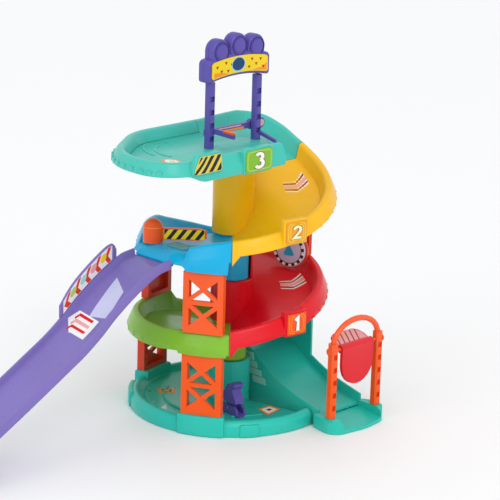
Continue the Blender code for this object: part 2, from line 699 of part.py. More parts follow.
def lattice_tower(name, deg, z0, z1, colour, radius=TOWER_R, open_cells=(0, 1)):
    """A flat tower with crossed braces in two cells; its top and foot are left whole."""
    half = TOWER_W / 2.0
    slab = box(-half, half, -TOWER_T / 2.0, TOWER_T / 2.0, 0.0, z1 - z0)
    obj = finish(name, slab, colour, polar(radius, deg, z0), deg + 90.0)
    cell_h = (z1 - z0 - TOWER_BAR) / 2.0
    holes = bmesh.new()
    inset = TOWER_BAR * 0.7
    for cell in open_cells:
        low = TOWER_BAR + cell * cell_h
        high = low + cell_h - TOWER_BAR
        left = -half + TOWER_POST
        right = half - TOWER_POST
        mid = (low + high) / 2.0
        windows = [
            [(left, low + inset), (-inset, mid), (left, high - inset)],
            [(right, low + inset), (right, high - inset), (inset, mid)],
        ]
        if cell == 0:
            windows.append([(left + inset, high), (0.0, mid + inset), (right - inset, high)])
        else:
            windows.append([(left + inset, low), (right - inset, low), (0.0, mid - inset)])
        for window in windows:
            join(holes, loft([[(x, -TOWER_T, z) for x, z in window],
                              [(x, TOWER_T, z) for x, z in window]]))
    cutter = finish(name + "_windows", holes, colour, polar(radius, deg, z0), deg + 90.0)
    boolean(obj, cutter, "DIFFERENCE")
    pocket = box(-half + TOWER_POST, half - TOWER_POST, TOWER_WEB - TOWER_T / 2.0, TOWER_T,
                 TOWER_BAR, z1 - z0 - TOWER_BAR)
    cutter = finish(name + "_pocket", pocket, colour, polar(radius, deg, z0), deg + 90.0)
    boolean(obj, cutter, "DIFFERENCE")
    return obj


def towers():
    base_top = SOCKET_Z + GAP
    front_foot = curve_at(TRAY_1_RIM, TRAY_FRONT) + GAP
    lattice_tower("front_tower_lower", FRONT_TOWER_DEG, base_top, FRONT_COLLAR_Z_1 - GAP, "orange")
    lattice_tower("front_tower_upper", FRONT_TOWER_DEG, front_foot, FRONT_COLLAR_Z_2 - GAP, "orange")
    lattice_tower("rear_tower_lower", REAR_TOWER_DEG, base_top, REAR_COLLAR_Z_1 - GAP, "brick")
    lattice_tower("rear_tower_upper", REAR_TOWER_DEG, REAR_TOWER_FOOT_Z + GAP, REAR_COLLAR_Z_2 - GAP,
                  "brick", REAR_UPPER_R, (1,))


def exit_floor(u):
    """Height of the exit lane along its path from the first tray."""
    return curve_at(EXIT_LINE, u)


def exit_ramp():
    """A curved and then straight lane with side walls that reach down to the ground."""
    t = EXIT_WALL
    mid = 0.5 * (EXIT_IN_Y + EXIT_OUT_Y)
    turn = math.radians(TRAY_BACK - 90.0) * mid

    def section(floor, ridge, top, foot_out):
        inner = max(HUB_R + GAP, EXIT_IN_Y)
        out = EXIT_OUT_Y
        return [(inner, 0.0), (inner, ridge), (inner + t, ridge), (inner + t + 0.6, floor),
                (out, floor), (out, top), (out + t, top), (foot_out, 0.0), (foot_out - t, 0.0),
                (out + 0.4, floor - t), (inner + t, floor - t), (inner + t, 0.0)]

    sections = []
    for deg in stations(TRAY_BACK - seam(), 90.0, (TALL_WALL_DEG, TALL_WALL_DEG + 1.0)):
        floor = exit_floor(math.radians(TRAY_BACK - deg) * mid)
        top = floor + RIM_H
        if deg <= TALL_WALL_DEG:
            top = red_z(deg) - FLOOR_T - 2.0 * GAP - 1.0
        foot = EXIT_OUT_Y + t + 14.0 * (deg - 90.0) / (TRAY_BACK - 90.0)
        sections.append([polar(r, deg, z) for r, z in section(floor, floor + EXIT_RIDGE_H, top, foot)])
    stops = [12.0, 24.0, TALL_WALL_X, TALL_WALL_X + 1.0, 50.0, 65.0, 80.0, 95.0, EXIT_END_X - GAP]
    for x in stops:
        floor = exit_floor(turn + x)
        top = floor + EXIT_RIM_H
        if x <= TALL_WALL_X:
            deg = math.degrees(math.atan2(EXIT_OUT_Y, x))
            top = red_z(deg) - FLOOR_T - 2.0 * GAP - 1.0
        foot = EXIT_OUT_Y + t
        sections.append([(x, r, z) for r, z in section(floor, floor + EXIT_RIDGE_H, top, foot)])
    return finish("exit_ramp", loft(sections), "teal")


def exit_apron():
    """The last stretch of the lane, between two shoulders that carry the gate's posts."""
    x0 = EXIT_END_X + GAP
    x1 = EXIT_END_X + APRON_L
    plan = rounded([(x0, APRON_Y0 + 6.0, 0.0), (x1 - 5.0, APRON_Y0, 14.0),
                    (x1, GATE_Y, 60.0), (x1 - 8.0, APRON_Y1, APRON_CORNER), (x0, EXIT_OUT_Y + 4.0, 0.0)])
    obj = finish("exit_apron", prism(plan, 0.0, GATE_FOOT_Z), "teal")
    top = GATE_FOOT_Z + 2.0
    reach = GATE_SPAN / 2.0 - GATE_POST / 2.0 - 0.5
    lane = [(x0 - 2.0, EXIT_END_Z), (GATE_X - 14.0, EXIT_END_Z), (x1 + 2.0, APRON_TIP_Z), (x1 + 2.0, top),
            (x0 - 2.0, top)]
    air = loft([[(x, GATE_Y - reach, z) for x, z in lane], [(x, GATE_Y + reach, z) for x, z in lane]])
    boolean(obj, finish("apron_lane", air, "teal"), "DIFFERENCE")
    slope_x = GATE_X + GATE_POST / 2.0 + 3.0
    slope = [(slope_x, GATE_FOOT_Z), (x1 + 2.0, APRON_TIP_Z + 2.0), (x1 + 2.0, top), (slope_x, top)]
    air = loft([[(x, APRON_Y0 - 5.0, z) for x, z in slope], [(x, APRON_Y1 + 5.0, z) for x, z in slope]])
    boolean(obj, finish("apron_shoulders", air, "teal"), "DIFFERENCE")
    half = GATE_SPAN / 2.0 + GATE_POST / 2.0 + 1.5
    for y_in, y_out in ((GATE_Y - half, APRON_Y0 - 1.0), (GATE_Y + half, APRON_Y1 + 1.0)):
        side = [(y_in, GATE_FOOT_Z), (y_out, APRON_SIDE_Z), (y_out, top), (y_in, top)]
        air = loft([[(x, y, z) for y, z in side] for x in (x0 - 2.0, x1 + 2.0)])
        boolean(obj, finish("apron_side", air, "teal"), "DIFFERENCE")
    return obj


def recessed_post(x, y, z0, z1, size, colour, name, first, face=1.0, wide=RECESS):
    """A square post with a row of recesses in its front face."""
    half = size / 2.0
    corner = 1.6
    plan = [(x - half + corner, y - half), (x + half - corner, y - half), (x + half, y - half + corner),
            (x + half, y + half - corner), (x + half - corner, y + half), (x - half + corner, y + half),
            (x - half, y + half - corner), (x - half, y - half + corner)]
    post = finish(name, prism(plan, z0, z1), colour)
    holes = bmesh.new()
    z = z0 + first
    while z + RECESS < z1 - 2.0:
        join(holes, box(x + face * (half - RECESS_DEPTH), x + face * (half + 1.0),
                        y - wide / 2.0, y + wide / 2.0, z, z + RECESS))
        z += RECESS_PITCH
    return post, finish(name + "_recesses", holes, colour)


def exit_gate():
    """Two posts and an arch in one piece, with the flap that hangs between them."""
    foot = GATE_FOOT_Z + GAP
    hinge = GATE_FOOT_Z + GATE_HINGE_H
    y_left = GATE_Y - GATE_SPAN / 2.0
    y_right = GATE_Y + GATE_SPAN / 2.0
    top = hinge + 8.0
    left, left_holes = recessed_post(GATE_X, y_left, foot, top, GATE_POST, "orange", "exit_arch", 8.0)
    right, right_holes = recessed_post(GATE_X, y_right, foot, top, GATE_POST, "orange",
                                       "arch_post_right", 8.0)
    boolean(left, right, "UNION")
    boolean(left, finish("arch_tube", arch_tube(y_left, y_right, top), "orange"), "UNION")
    boolean(left, left_holes, "DIFFERENCE")
    boolean(left, right_holes, "DIFFERENCE")
    bores = bmesh.new()
    for y in (y_left, y_right):
        ring = circle(PIN_R + PIN_CLEAR, 12)
        join(bores, loft([[(GATE_X + a, y - GATE_POST, hinge + b) for a, b in ring],
                          [(GATE_X + a, y + GATE_POST, hinge + b) for a, b in ring]]))
    boolean(left, finish("gate_bores", bores, "orange"), "DIFFERENCE")
    return hinge


def arch_tube(y_left, y_right, base_z):
    """A round tube bent in a half circle between the post tops."""
    radius = (y_right - y_left) / 2.0
    rise = GATE_ARCH_H - 8.0 - GATE_ARCH_TUBE / 2.0
    tube = GATE_ARCH_TUBE / 2.0
    steps = 14
    sections = []
    for i in range(steps + 1):
        a = math.pi * i / steps
        cy = GATE_Y - radius * math.cos(a)
        cz = base_z - 3.0 + (rise + 3.0) * math.sin(a)
        normal = Vector((0.0, -math.cos(a) * (rise + 3.0), math.sin(a) * radius)).normalized()
        ring = []
        for x_off, n_off in circle(tube, 8, start=math.pi / 8.0):
            ring.append((GATE_X + x_off, cy + normal.y * n_off, cz + normal.z * n_off))
        sections.append(ring)
    return loft(sections)


def exit_flap(hinge):
    """A bent paddle: the round half hangs in the lane, the striped half leans back."""
    half = FLAP_W / 2.0
    barrel_r = PIN_R + PIN_CLEAR + 2.0
    ring = circle(barrel_r, 12)
    barrel = loft([[(x, -half, z) for x, z in ring], [(x, half, z) for x, z in ring]])
    place = (GATE_X, GATE_Y, hinge)
    obj = finish("exit_flap", barrel, "red", place)
    drop = [(-half, 0.0), (-half, -FLAP_DROP + half)]
    drop += arc(0.0, -FLAP_DROP + half, half, 180.0, 360.0, 12)[1:-1]
    drop += [(half, -FLAP_DROP + half), (half, 0.0)]
    x0 = FLAP_FORWARD - FLAP_T / 2.0
    paddle = side_prism(drop, x0, x0 + FLAP_T)
    boolean(obj, finish("flap_paddle", paddle, "red", place), "UNION")
    a = math.radians(180.0 - FLAP_WING_DEG)
    length = FLAP_WING_L
    rows = []
    for s, w in ((0.0, half), (0.55 * length, half), (0.85 * length, half * 0.86), (length, half * 0.6)):
        for_t = FLAP_WING_T / 2.0
        cx = s * math.cos(a)
        cz = s * math.sin(a)
        nx = math.sin(a) * for_t
        nz = -math.cos(a) * for_t
        rows.append([(cx - nx, -w, cz - nz), (cx + nx, -w, cz + nz), (cx + nx, w, cz + nz), (cx - nx, w, cz - nz)])
    boolean(obj, finish("flap_wing", loft(rows), "red", place), "UNION")
    ring = circle(PIN_R + PIN_CLEAR, 12)
    bore = loft([[(x, -half - 1.0, z) for x, z in ring], [(x, half + 1.0, z) for x, z in ring]])
    boolean(obj, finish("flap_bore", bore, "red", place), "DIFFERENCE")
    reach = GATE_SPAN / 2.0 + GATE_POST / 2.0 + 1.5
    ring = circle(PIN_R, 12)
    head = circle(PIN_R + 2.0, 12)
    rod = loft([[(x, -reach, z) for x, z in head], [(x, -reach + 1.2, z) for x, z in head],
                [(x, -reach + 1.21, z) for x, z in ring], [(x, reach - 1.21, z) for x, z in ring],
                [(x, reach - 1.2, z) for x, z in head], [(x, reach, z) for x, z in head]])
    finish("flap_pin", rod, "orange", place)


def gantry():
    """Two posts, the sign housing in two halves, three lamps and the boom with its pin."""
    z = level_z(3) + GAP
    top = z + GANTRY_POST_H
    y_left = GANTRY_Y - GANTRY_SPAN / 2.0
    y_right = GANTRY_Y + GANTRY_SPAN / 2.0
    gantry_post("gantry_post_left", y_left, z, top, RAIL_LEFT)
    right = gantry_post("gantry_post_right", y_right, z, top, RAIL_RIGHT)
    ring = circle(PIN_R + GAP, 12)
    bore = loft([[(GANTRY_X - 20.0, y_right + a, z + BOOM_H + b) for a, b in ring],
                 [(GANTRY_X + 1.0, y_right + a, z + BOOM_H + b) for a, b in ring]])
    boolean(right, finish("boom_bore", bore, "purple"), "DIFFERENCE")
    sign_housing(top)
    boom(y_left, y_right, z)


def gantry_post(name, y, z, top, side):
    """One post with its recesses and the rail that runs forward from it."""
    post, holes = recessed_post(GANTRY_X, y, z, top, GANTRY_POST, "purple", name, 7.0,
                                wide=GANTRY_RECESS_W)
    boolean(post, holes, "DIFFERENCE")
    x0 = GANTRY_X + GANTRY_POST / 2.0 - 2.0
    y0 = y + GANTRY_POST / 2.0 - 1.5 - RAIL_T / 2.0
    rail = loft([[(x0 + a, y1, z + h) for a, h in side] for y1 in (y0, y0 + RAIL_T)])
    boolean(post, finish(name + "_rail", rail, "purple"), "UNION")
    return post


def sign_outline():
    """The sign's front outline in Y and Z: a band that bows up at its middle."""
    half = SIGN_W / 2.0
    steps = 10
    low = []
    high = []
    for i in range(steps + 1):
        s = -1.0 + 2.0 * i / steps
        bow = SIGN_RISE * (1.0 - s * s)
        low.append((GANTRY_Y + s * (half - 2.0), bow))
        high.append((GANTRY_Y + s * (half - 3.0), bow + SIGN_H))
    left = [(GANTRY_Y - half, SIGN_H - 3.0), (GANTRY_Y - half, 3.0)]
    right = [(GANTRY_Y + half, 3.0), (GANTRY_Y + half, SIGN_H - 3.0)]
    return low + right + list(reversed(high)) + left


def sign_housing(top):
    """Rear shell with the lamps on it, front shell, and the sign plate."""
    base_z = top + GAP - SIGN_SINK
    x_mid = GANTRY_X
    outline = [(y, h + base_z) for y, h in sign_outline()]
    rear = finish("gantry_rear_shell", side_prism(outline, x_mid - SIGN_D / 2.0, x_mid - GAP / 2.0), "purple")
    front = finish("gantry_front_shell", side_prism(outline, x_mid + GAP / 2.0, x_mid + SIGN_D / 2.0), "purple")
    plate = [(GANTRY_Y + (y - GANTRY_Y) * 0.92, base_z + SIGN_H / 2.0 + SIGN_RISE / 2.0
              + (h - base_z - SIGN_H / 2.0 - SIGN_RISE / 2.0) * 0.78) for y, h in outline]
    x_face = x_mid + SIGN_D / 2.0 + GAP
    finish("gantry_sign_plate", side_prism(plate, x_face, x_face + 1.0), "yellow")
    for i in (-1, 0, 1):
        y = GANTRY_Y + i * LAMP_PITCH
        lift = SIGN_RISE * (1.0 - (i * LAMP_PITCH * 2.0 / SIGN_W) ** 2) - LAMP_STEP * abs(i)
        foot = base_z + SIGN_H + lift - 4.0
        centre = foot + 4.0 + LAMP_LIFT - 6.0
        dome = [(y - LAMP_R, foot)] + [(y + LAMP_R, foot)]
        dome += [(y + LAMP_R * math.cos(math.radians(a)), centre + LAMP_R * math.sin(math.radians(a)))
                 for a in range(0, 181, 20)]
        for shell, x0, x1 in ((rear, x_mid - SIGN_D / 2.0 + 0.5, x_mid - GAP / 2.0),
                              (front, x_mid + GAP / 2.0, x_mid + SIGN_D / 2.0 - 0.5)):
            lamp = finish(shell.name + "_lamp_" + str(i + 2), side_prism(dome, x0, x1), "purple")
            boolean(shell, lamp, "UNION")


def boom(y_left, y_right, z):
    """The barrier boom behind the posts, its disc weight and its pin."""
    x1 = GANTRY_X - GANTRY_POST / 2.0 - GAP
    x0 = x1 - BOOM_T
    place = (0.0, y_right, z + BOOM_H)
    reach = y_left - y_right + GANTRY_POST / 2.0 - 4.0
    h = BOOM_BAR_H / 2.0
    bar = [(reach, -h), (BOOM_TAIL, -h), (BOOM_TAIL, h), (reach, h)]
    obj = finish("gantry_boom", side_prism(bar, x0, x1), "purple", place)
    for label, y, radius in (("weight", BOOM_TAIL, BOOM_DISC_R), ("boss", 0.0, 5.5)):
        disc = finish("boom_" + label, side_prism(circle(radius, 20, y, 0.0), x0 - 0.6, x1), "purple", place)
        boolean(obj, disc, "UNION")
    bore = side_prism(circle(PIN_R + GAP, 12), x0 - 3.0, x1 + 1.0)
    boolean(obj, finish("boom_hole", bore, "purple", place), "DIFFERENCE")
    tip = GANTRY_X - 0.5
    ring = circle(PIN_R, 12)
    head = circle(PIN_R + 1.6, 12)
    back = x0 - 0.6 - GAP
    pin = loft([[(back - 1.5, a, b) for a, b in head], [(back, a, b) for a, b in head],
                [(back + 0.01, a, b) for a, b in ring], [(tip, a, b) for a, b in ring]])
    finish("boom_pin", pin, "steel", place)


def side_fall(run):
    """Place and floor height of the slide, and how much longer a length square to it is when upright."""
    slope = (curve_at(SIDE_RUN, run + 2.0) - curve_at(SIDE_RUN, run - 2.0)) / 4.0
    return SIDE_TOP_Y - GAP - run, curve_at(SIDE_RUN, run), math.hypot(1.0, slope)


def side_ramp():
    """The long slide from the second tray's opening down to the floor, and its fin."""
    t = FLOOR_T
    sections = []
    count = 36
    for i in range(count + 1):
        y, z, upright = side_fall(SIDE_RUN[-1][0] * i / count)
        low = max(0.0, z - SIDE_SKIRT * upright)
        under = max(z - t * upright, low + 0.8)
        rim = z + SIDE_RIM_H * upright
        outline = [(SIDE_X0, low), (SIDE_X0, rim), (SIDE_X0 + t, rim), (SIDE_X0 + t + 1.0, z),
                   (SIDE_X1 - t - 1.0, z), (SIDE_X1 - t, rim), (SIDE_X1, rim), (SIDE_X1, low),
                   (SIDE_X1 - t, low), (SIDE_X1 - t, under), (SIDE_X0 + t, under), (SIDE_X0 + t, low)]
        sections.append([(x, y, h) for x, h in outline])
    ramp = finish("side_ramp", loft(sections), "violet")
    head = SIDE_RUN[0][1] - 0.2
    tongue = box(SIDE_X0 + t + 1.0, SIDE_X1 - t - 1.0, SIDE_TOP_Y - GAP - 1.0, SIDE_TOP_Y + SIDE_TONGUE,
                 head - t + 0.3, head)
    boolean(ramp, finish("side_ramp_tongue", tongue, "violet"), "UNION")
    rows = []
    steps = 14
    start = FIN_RISE[0][0]
    length = FIN_RISE[-1][0] - start
    for i in range(steps + 1):
        run = start + length * i / steps
        y, z, upright = side_fall(run)
        foot = z + SIDE_RIM_H * upright + GAP
        top = foot + curve_at(FIN_RISE, run)
        rows.append([(SIDE_X0, y, foot), (SIDE_X0 + FIN_T, y, foot), (SIDE_X0 + FIN_T, y, top),
                     (SIDE_X0, y, top)])
    finish("side_ramp_fin", loft(rows), "violet")


def diverter():
    """The swinging arm on the second tray, its domed knob and the pin that it turns on."""
    floor = tray_2_z() + GAP
    place = (DIVERTER_X, DIVERTER_Y, floor)
    r = DIVERTER_KNOB_R
    straight = DIVERTER_KNOB_H - r
    bore = PIN_R + PIN_CLEAR
    profile = [(bore, 0.0), (r, 0.0), (r, straight)]
    profile += [(r * math.cos(math.radians(a)), straight + r * math.sin(math.radians(a))) for a in (20, 40, 60, 78)]
    profile += [(0.0, DIVERTER_KNOB_H), (0.0, straight), (bore, straight)]
    obj = finish("diverter_gate", turned(profile, 24), "orange", place)
    half = DIVERTER_ARM_T / 2.0
    bow = []
    steps = 6
    for i in range(steps + 1):
        s = r - 2.0 + (DIVERTER_ARM_L - r + 2.0) * i / steps
        trim = 2.0 if i == steps else 0.0
        bow.append([(s, -half, DIVERTER_ARM_Z + trim), (s, half, DIVERTER_ARM_Z + trim),
                    (s, half, DIVERTER_ARM_Z + DIVERTER_ARM_H - trim),
                    (s, -half, DIVERTER_ARM_Z + DIVERTER_ARM_H - trim)])
    arm_mesh = loft(bow)
    bmesh.ops.rotate(arm_mesh, cent=(0, 0, 0), matrix=Matrix.Rotation(math.radians(DIVERTER_DEG), 3, "Z"),
                     verts=arm_mesh.verts)
    boolean(obj, finish("diverter_arm", arm_mesh, "orange", place), "UNION")
    low = tray_2_z() - FLOOR_T - GAP
    pin = turned([(0.0, low - 2.0), (PIN_R + 3.0, low - 2.0), (PIN_R + 3.0, low), (PIN_R, low),
                  (PIN_R, floor + straight - 1.0), (0.0, floor + straight - 1.0)], 16)
    finish("diverter_pin", pin, "steel", (DIVERTER_X, DIVERTER_Y, 0.0))


def parking_sign():
    """The narrow tower between the red rim and the yellow ramp, and the round sign on it."""
    tower = arc_block(SIGN_TOWER_R0, SIGN_TOWER_R1, SIGN_TOWER_DEG0, SIGN_TOWER_DEG1,
                      lambda deg: red_z(deg) + RIM_H + GAP,
                      lambda deg: yellow_z(deg) - FLOOR_T - GAP - 0.4)
    obj = finish("sign_tower", tower, "brick")
    facing = math.radians(PARKING_SIGN_YAW)
    place = (PARKING_SIGN_X, PARKING_SIGN_Y, PARKING_SIGN_Z)
    ring = circle(PARKING_SIGN_R, 32)
    disc = side_prism(ring, 0.0, PARKING_SIGN_T)
    finish("parking_sign", disc, "grey", place, PARKING_SIGN_YAW)
    case = side_prism(circle(PARKING_CASE_R, 32), -GAP - PARKING_CASE_T, -GAP)
    case = finish("sign_case", case, "brick", place, PARKING_SIGN_YAW)
    back = Vector((PARKING_SIGN_X, PARKING_SIGN_Y))
    back -= Vector((math.cos(facing), math.sin(facing))) * (GAP + PARKING_CASE_T / 2.0)
    slope = 7.0 * math.tan(facing + math.pi / 2.0)
    away = (SIGN_TOWER_R0 + SIGN_TOWER_R1) / 2.0
    z0 = PARKING_SIGN_Z - 3.0
    stem = loft([[(back.x - 7.0, back.y - slope, z), (back.x + 7.0, back.y + slope, z),
                  (back.x + 5.0, math.sqrt(away ** 2 - (back.x + 5.0) ** 2), z),
                  (back.x - 5.0, math.sqrt(away ** 2 - (back.x - 5.0) ** 2), z)] for z in (z0, z0 + 12.0)])
    boolean(obj, case, "UNION")
    boolean(obj, finish("sign_stem", stem, "brick"), "UNION")


def tiles():
    """Flat tiles let into the second tray and the exit lane."""
    z = tray_2_z() + GAP
    finish("sensor_tile_upper", prism(rounded([(-13.0, -7.0, 3.0), (13.0, -7.0, 3.0), (13.0, 7.0, 3.0),
                                               (-13.0, 7.0, 3.0)], 2), 0.0, TILE_T), "grey",
           (*TILE_AT, z), TILE_YAW)


def screws():
    """Pan head screws that hold the sign shells and the deck plates."""
    x_back = GANTRY_X - SIGN_D / 2.0 - GAP
    z = level_z(3) + GAP + GANTRY_POST_H + GAP + SIGN_H / 2.0
    for label, side in (("left", -1.0), ("right", 1.0)):
        y = GANTRY_Y + side * (SIGN_W / 2.0 - 8.0)
        head = side_prism(circle(2.6, 12, y, z), x_back - 1.4, x_back)
        finish("sign_screw_" + label, head, "steel")


def service_lever():
    """A ridged hand lever that turns between the cheeks of its bracket."""
    place = (LEVER_X, LEVER_Y, BASE_FLOOR_Z + GAP)
    stem = LEVER_STEM_W / 2.0
    out = stem + GAP + CHEEK_T
    foot = prism(rounded([(-17.0, -out, 2.0), (17.0, -out, 4.0), (17.0, out, 4.0), (-17.0, out, 2.0)], 3), 0.0, 2.6)
    bracket = finish("lever_bracket", foot, "purple", place, LEVER_YAW)
    cheek = [(-16.0, 2.0), (15.0, 2.0), (13.5, 7.5), (9.0, 9.6), (-14.0, 9.6), (-16.0, 8.0)]
    for label, y in (("left", -out), ("right", stem + GAP)):
        side = loft([[(x, y, z) for x, z in cheek], [(x, y + CHEEK_T, z) for x, z in cheek]])
        boolean(bracket, finish("cheek_" + label, side, "purple", place, LEVER_YAW), "UNION")
    ring = circle(LEVER_PIN_R + GAP, 10)
    bore = loft([[(x, -out - 1.0, LEVER_AXIS_Z + z) for x, z in ring],
                 [(x, out + 1.0, LEVER_AXIS_Z + z) for x, z in ring]])
    boolean(bracket, finish("bracket_bore", bore, "purple", place, LEVER_YAW), "DIFFERENCE")
    axis = (LEVER_X, LEVER_Y, BASE_FLOOR_Z + GAP + LEVER_AXIS_Z)
    shank = [(-4.0, -2.8), (4.0, -2.8), (5.0, 9.0), (-5.0, 9.0)]
    lever = finish("service_lever", loft([[(x, -stem, z) for x, z in shank], [(x, stem, z) for x, z in shank]]),
                   "purple", axis, LEVER_YAW)
    half = LEVER_GRIP_W / 2.0
    climb = math.tan(math.radians(LEVER_SWING))
    under = [(x, 4.2 + abs(x) * climb) for x in (-12.5, 0.0, 12.5)]
    right = [(10.5, 12.0), (6.5, 17.0), (6.0, 21.0), (9.5, 23.5), (9.5, 26.5), (7.0, 27.8)]
    slope = [(2.0, 27.0), (-3.5, 24.5), (-7.0, 20.5), (-9.5, 15.5), (-11.5, 11.0)]
    left = []
    for (xa, za), (xb, zb) in zip(slope, slope[1:]):
        left += [(xa, za), (xa + (xb - xa) * 0.35 + 0.8, za + (zb - za) * 0.35 - 0.8)]
    left.append(slope[-1])
    outline = under + right + left
    grip = loft([[(x, -half, z) for x, z in outline], [(x, half, z) for x, z in outline]])
    boolean(lever, finish("lever_grip", grip, "purple", axis, LEVER_YAW), "UNION")
    ring = circle(LEVER_PIN_R + GAP, 10)
    hole = loft([[(x, -half - 1.0, z) for x, z in ring], [(x, half + 1.0, z) for x, z in ring]])
    boolean(lever, finish("lever_hole", hole, "purple", axis, LEVER_YAW), "DIFFERENCE")
    ring = circle(LEVER_PIN_R, 10)
    pin = loft([[(x, -out - 0.6, z) for x, z in ring], [(x, out + 0.6, z) for x, z in ring]])
    finish("lever_pin", pin, "steel", axis, LEVER_YAW)


def main():
    clear_scene()
    base()
    exit_ramp()
    exit_apron()
    level_1_and_2()
    deck_ramp()
    top_deck()
    towers()
    exit_flap(exit_gate())
    gantry()
    side_ramp()
    diverter()
    parking_sign()
    service_lever()
    tiles()
    screws()


main()
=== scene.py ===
import json
import math

import bmesh
import bpy
from mathutils import Matrix, Vector


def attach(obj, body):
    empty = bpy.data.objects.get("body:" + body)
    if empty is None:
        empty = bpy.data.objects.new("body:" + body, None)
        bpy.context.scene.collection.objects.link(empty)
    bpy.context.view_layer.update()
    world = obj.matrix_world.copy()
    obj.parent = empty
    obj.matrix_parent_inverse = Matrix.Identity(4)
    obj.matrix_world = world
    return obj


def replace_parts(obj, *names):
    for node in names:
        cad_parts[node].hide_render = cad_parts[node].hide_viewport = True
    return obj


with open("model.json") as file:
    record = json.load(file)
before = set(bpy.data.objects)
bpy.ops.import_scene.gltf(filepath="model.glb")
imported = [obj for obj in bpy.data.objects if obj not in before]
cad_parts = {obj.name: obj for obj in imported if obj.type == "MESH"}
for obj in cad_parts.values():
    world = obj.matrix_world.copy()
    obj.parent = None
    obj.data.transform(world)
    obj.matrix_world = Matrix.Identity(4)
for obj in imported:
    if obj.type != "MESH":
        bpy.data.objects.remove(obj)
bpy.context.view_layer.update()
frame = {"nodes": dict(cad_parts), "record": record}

MM = 0.001
BODY = "garage"

# Driving sizes of the spiral, in millimetres and degrees
TRACK_R, HUB_R, COLLAR_R, WALL = 101.0, 21.5, 17.0, 2.4
L1, RISE = 94.0, 93.0
RIM_H, RIM_W, RIM_SLOPE, FLARE, SKIRT_H = 16.0, 8.0, 4.0, 5.0, 20.0
BACK, FRONT = 135.0, 315.0
SEAM = 0.29
STEP = 2.5
RED_DROP = [(135.0, 0.43), (77.0, 0.56), (65.0, 0.60), (30.0, 0.72), (14.0, 0.78), (-45.0, 1.0)]
YELLOW_DROP = [(135.0, 0.0), (118.0, 0.07), (106.0, 0.17), (92.0, 0.32), (59.0, 0.55), (33.0, 0.68),
               (7.0, 0.81), (-15.0, 0.915), (-45.0, 1.0)]
TRAY_1_FLOOR = [(315.0, 94.0), (270.0, 92.5), (246.0, 91.0), (209.0, 88.0), (180.0, 79.5),
                (156.0, 70.0), (135.0, 63.0)]
TRAY_1_RIM = [(315.0, 106.5), (286.0, 106.5), (270.0, 104.0), (220.0, 102.0), (206.0, 101.0),
              (178.0, 101.0), (173.0, 90.0), (148.0, 79.0), (135.0, 75.0)]
TRAY_2_FLOOR = [(315.0, 187.0), (290.0, 185.0), (248.0, 185.0), (219.0, 180.0), (200.0, 176.0),
                (186.0, 171.0), (166.0, 161.5), (148.0, 152.0), (135.0, 147.0)]
TRAY_2_RIM = [(315.0, 203.0), (300.0, 198.0), (287.0, 192.0), (243.0, 192.0), (200.0, 190.5),
              (186.0, 184.0), (166.0, 173.5), (148.0, 164.0), (135.0, 159.0)]
TRAY_2_OUT = [(315.0, 0.0), (287.0, 0.0), (246.0, -4.0), (225.0, -9.0), (204.0, -9.0), (178.0, -8.0),
              (160.0, -4.0), (135.0, 0.0)]
FRONT_T, REAR_T, SOCKET = 299.5, 192.0, 13.5
TAG_1_AT, TAG_2_AT, TAG_SPAN = (-4.75, 6.0), (-8.5, 13.3), 13.5
SIDE_X0, SIDE_X1, SIDE_TOP_Y = -33.0, 23.0, -107.0
SIDE_RIM_H, SIDE_SKIRT = 6.0, 4.2
SIDE_RUN = [(0.0, 174.5), (12.7, 172.8), (22.7, 169.0), (42.7, 158.4), (72.7, 138.4),
            (92.7, 122.0), (112.7, 108.0), (132.7, 96.5), (192.7, 63.0), (252.7, 31.0),
            (292.7, 10.5), (307.7, 4.0)]
FIN_RISE = [(24.2, 9.0), (28.7, 17.5), (38.7, 20.0), (69.7, 19.5), (86.7, 17.5), (96.7, 13.0)]
NECK_IN, NECK_1_FOOT, NECK_2_FOOT, FIT = 16.7, 52.0, 138.0, 0.3
BASE_FLOOR, BASE_RIM = 9.0, 16.0
TAG_HALF, PAD_HALF = 10.7, 12.75
SHARP, CORNER = math.radians(38.0), math.radians(25.0)


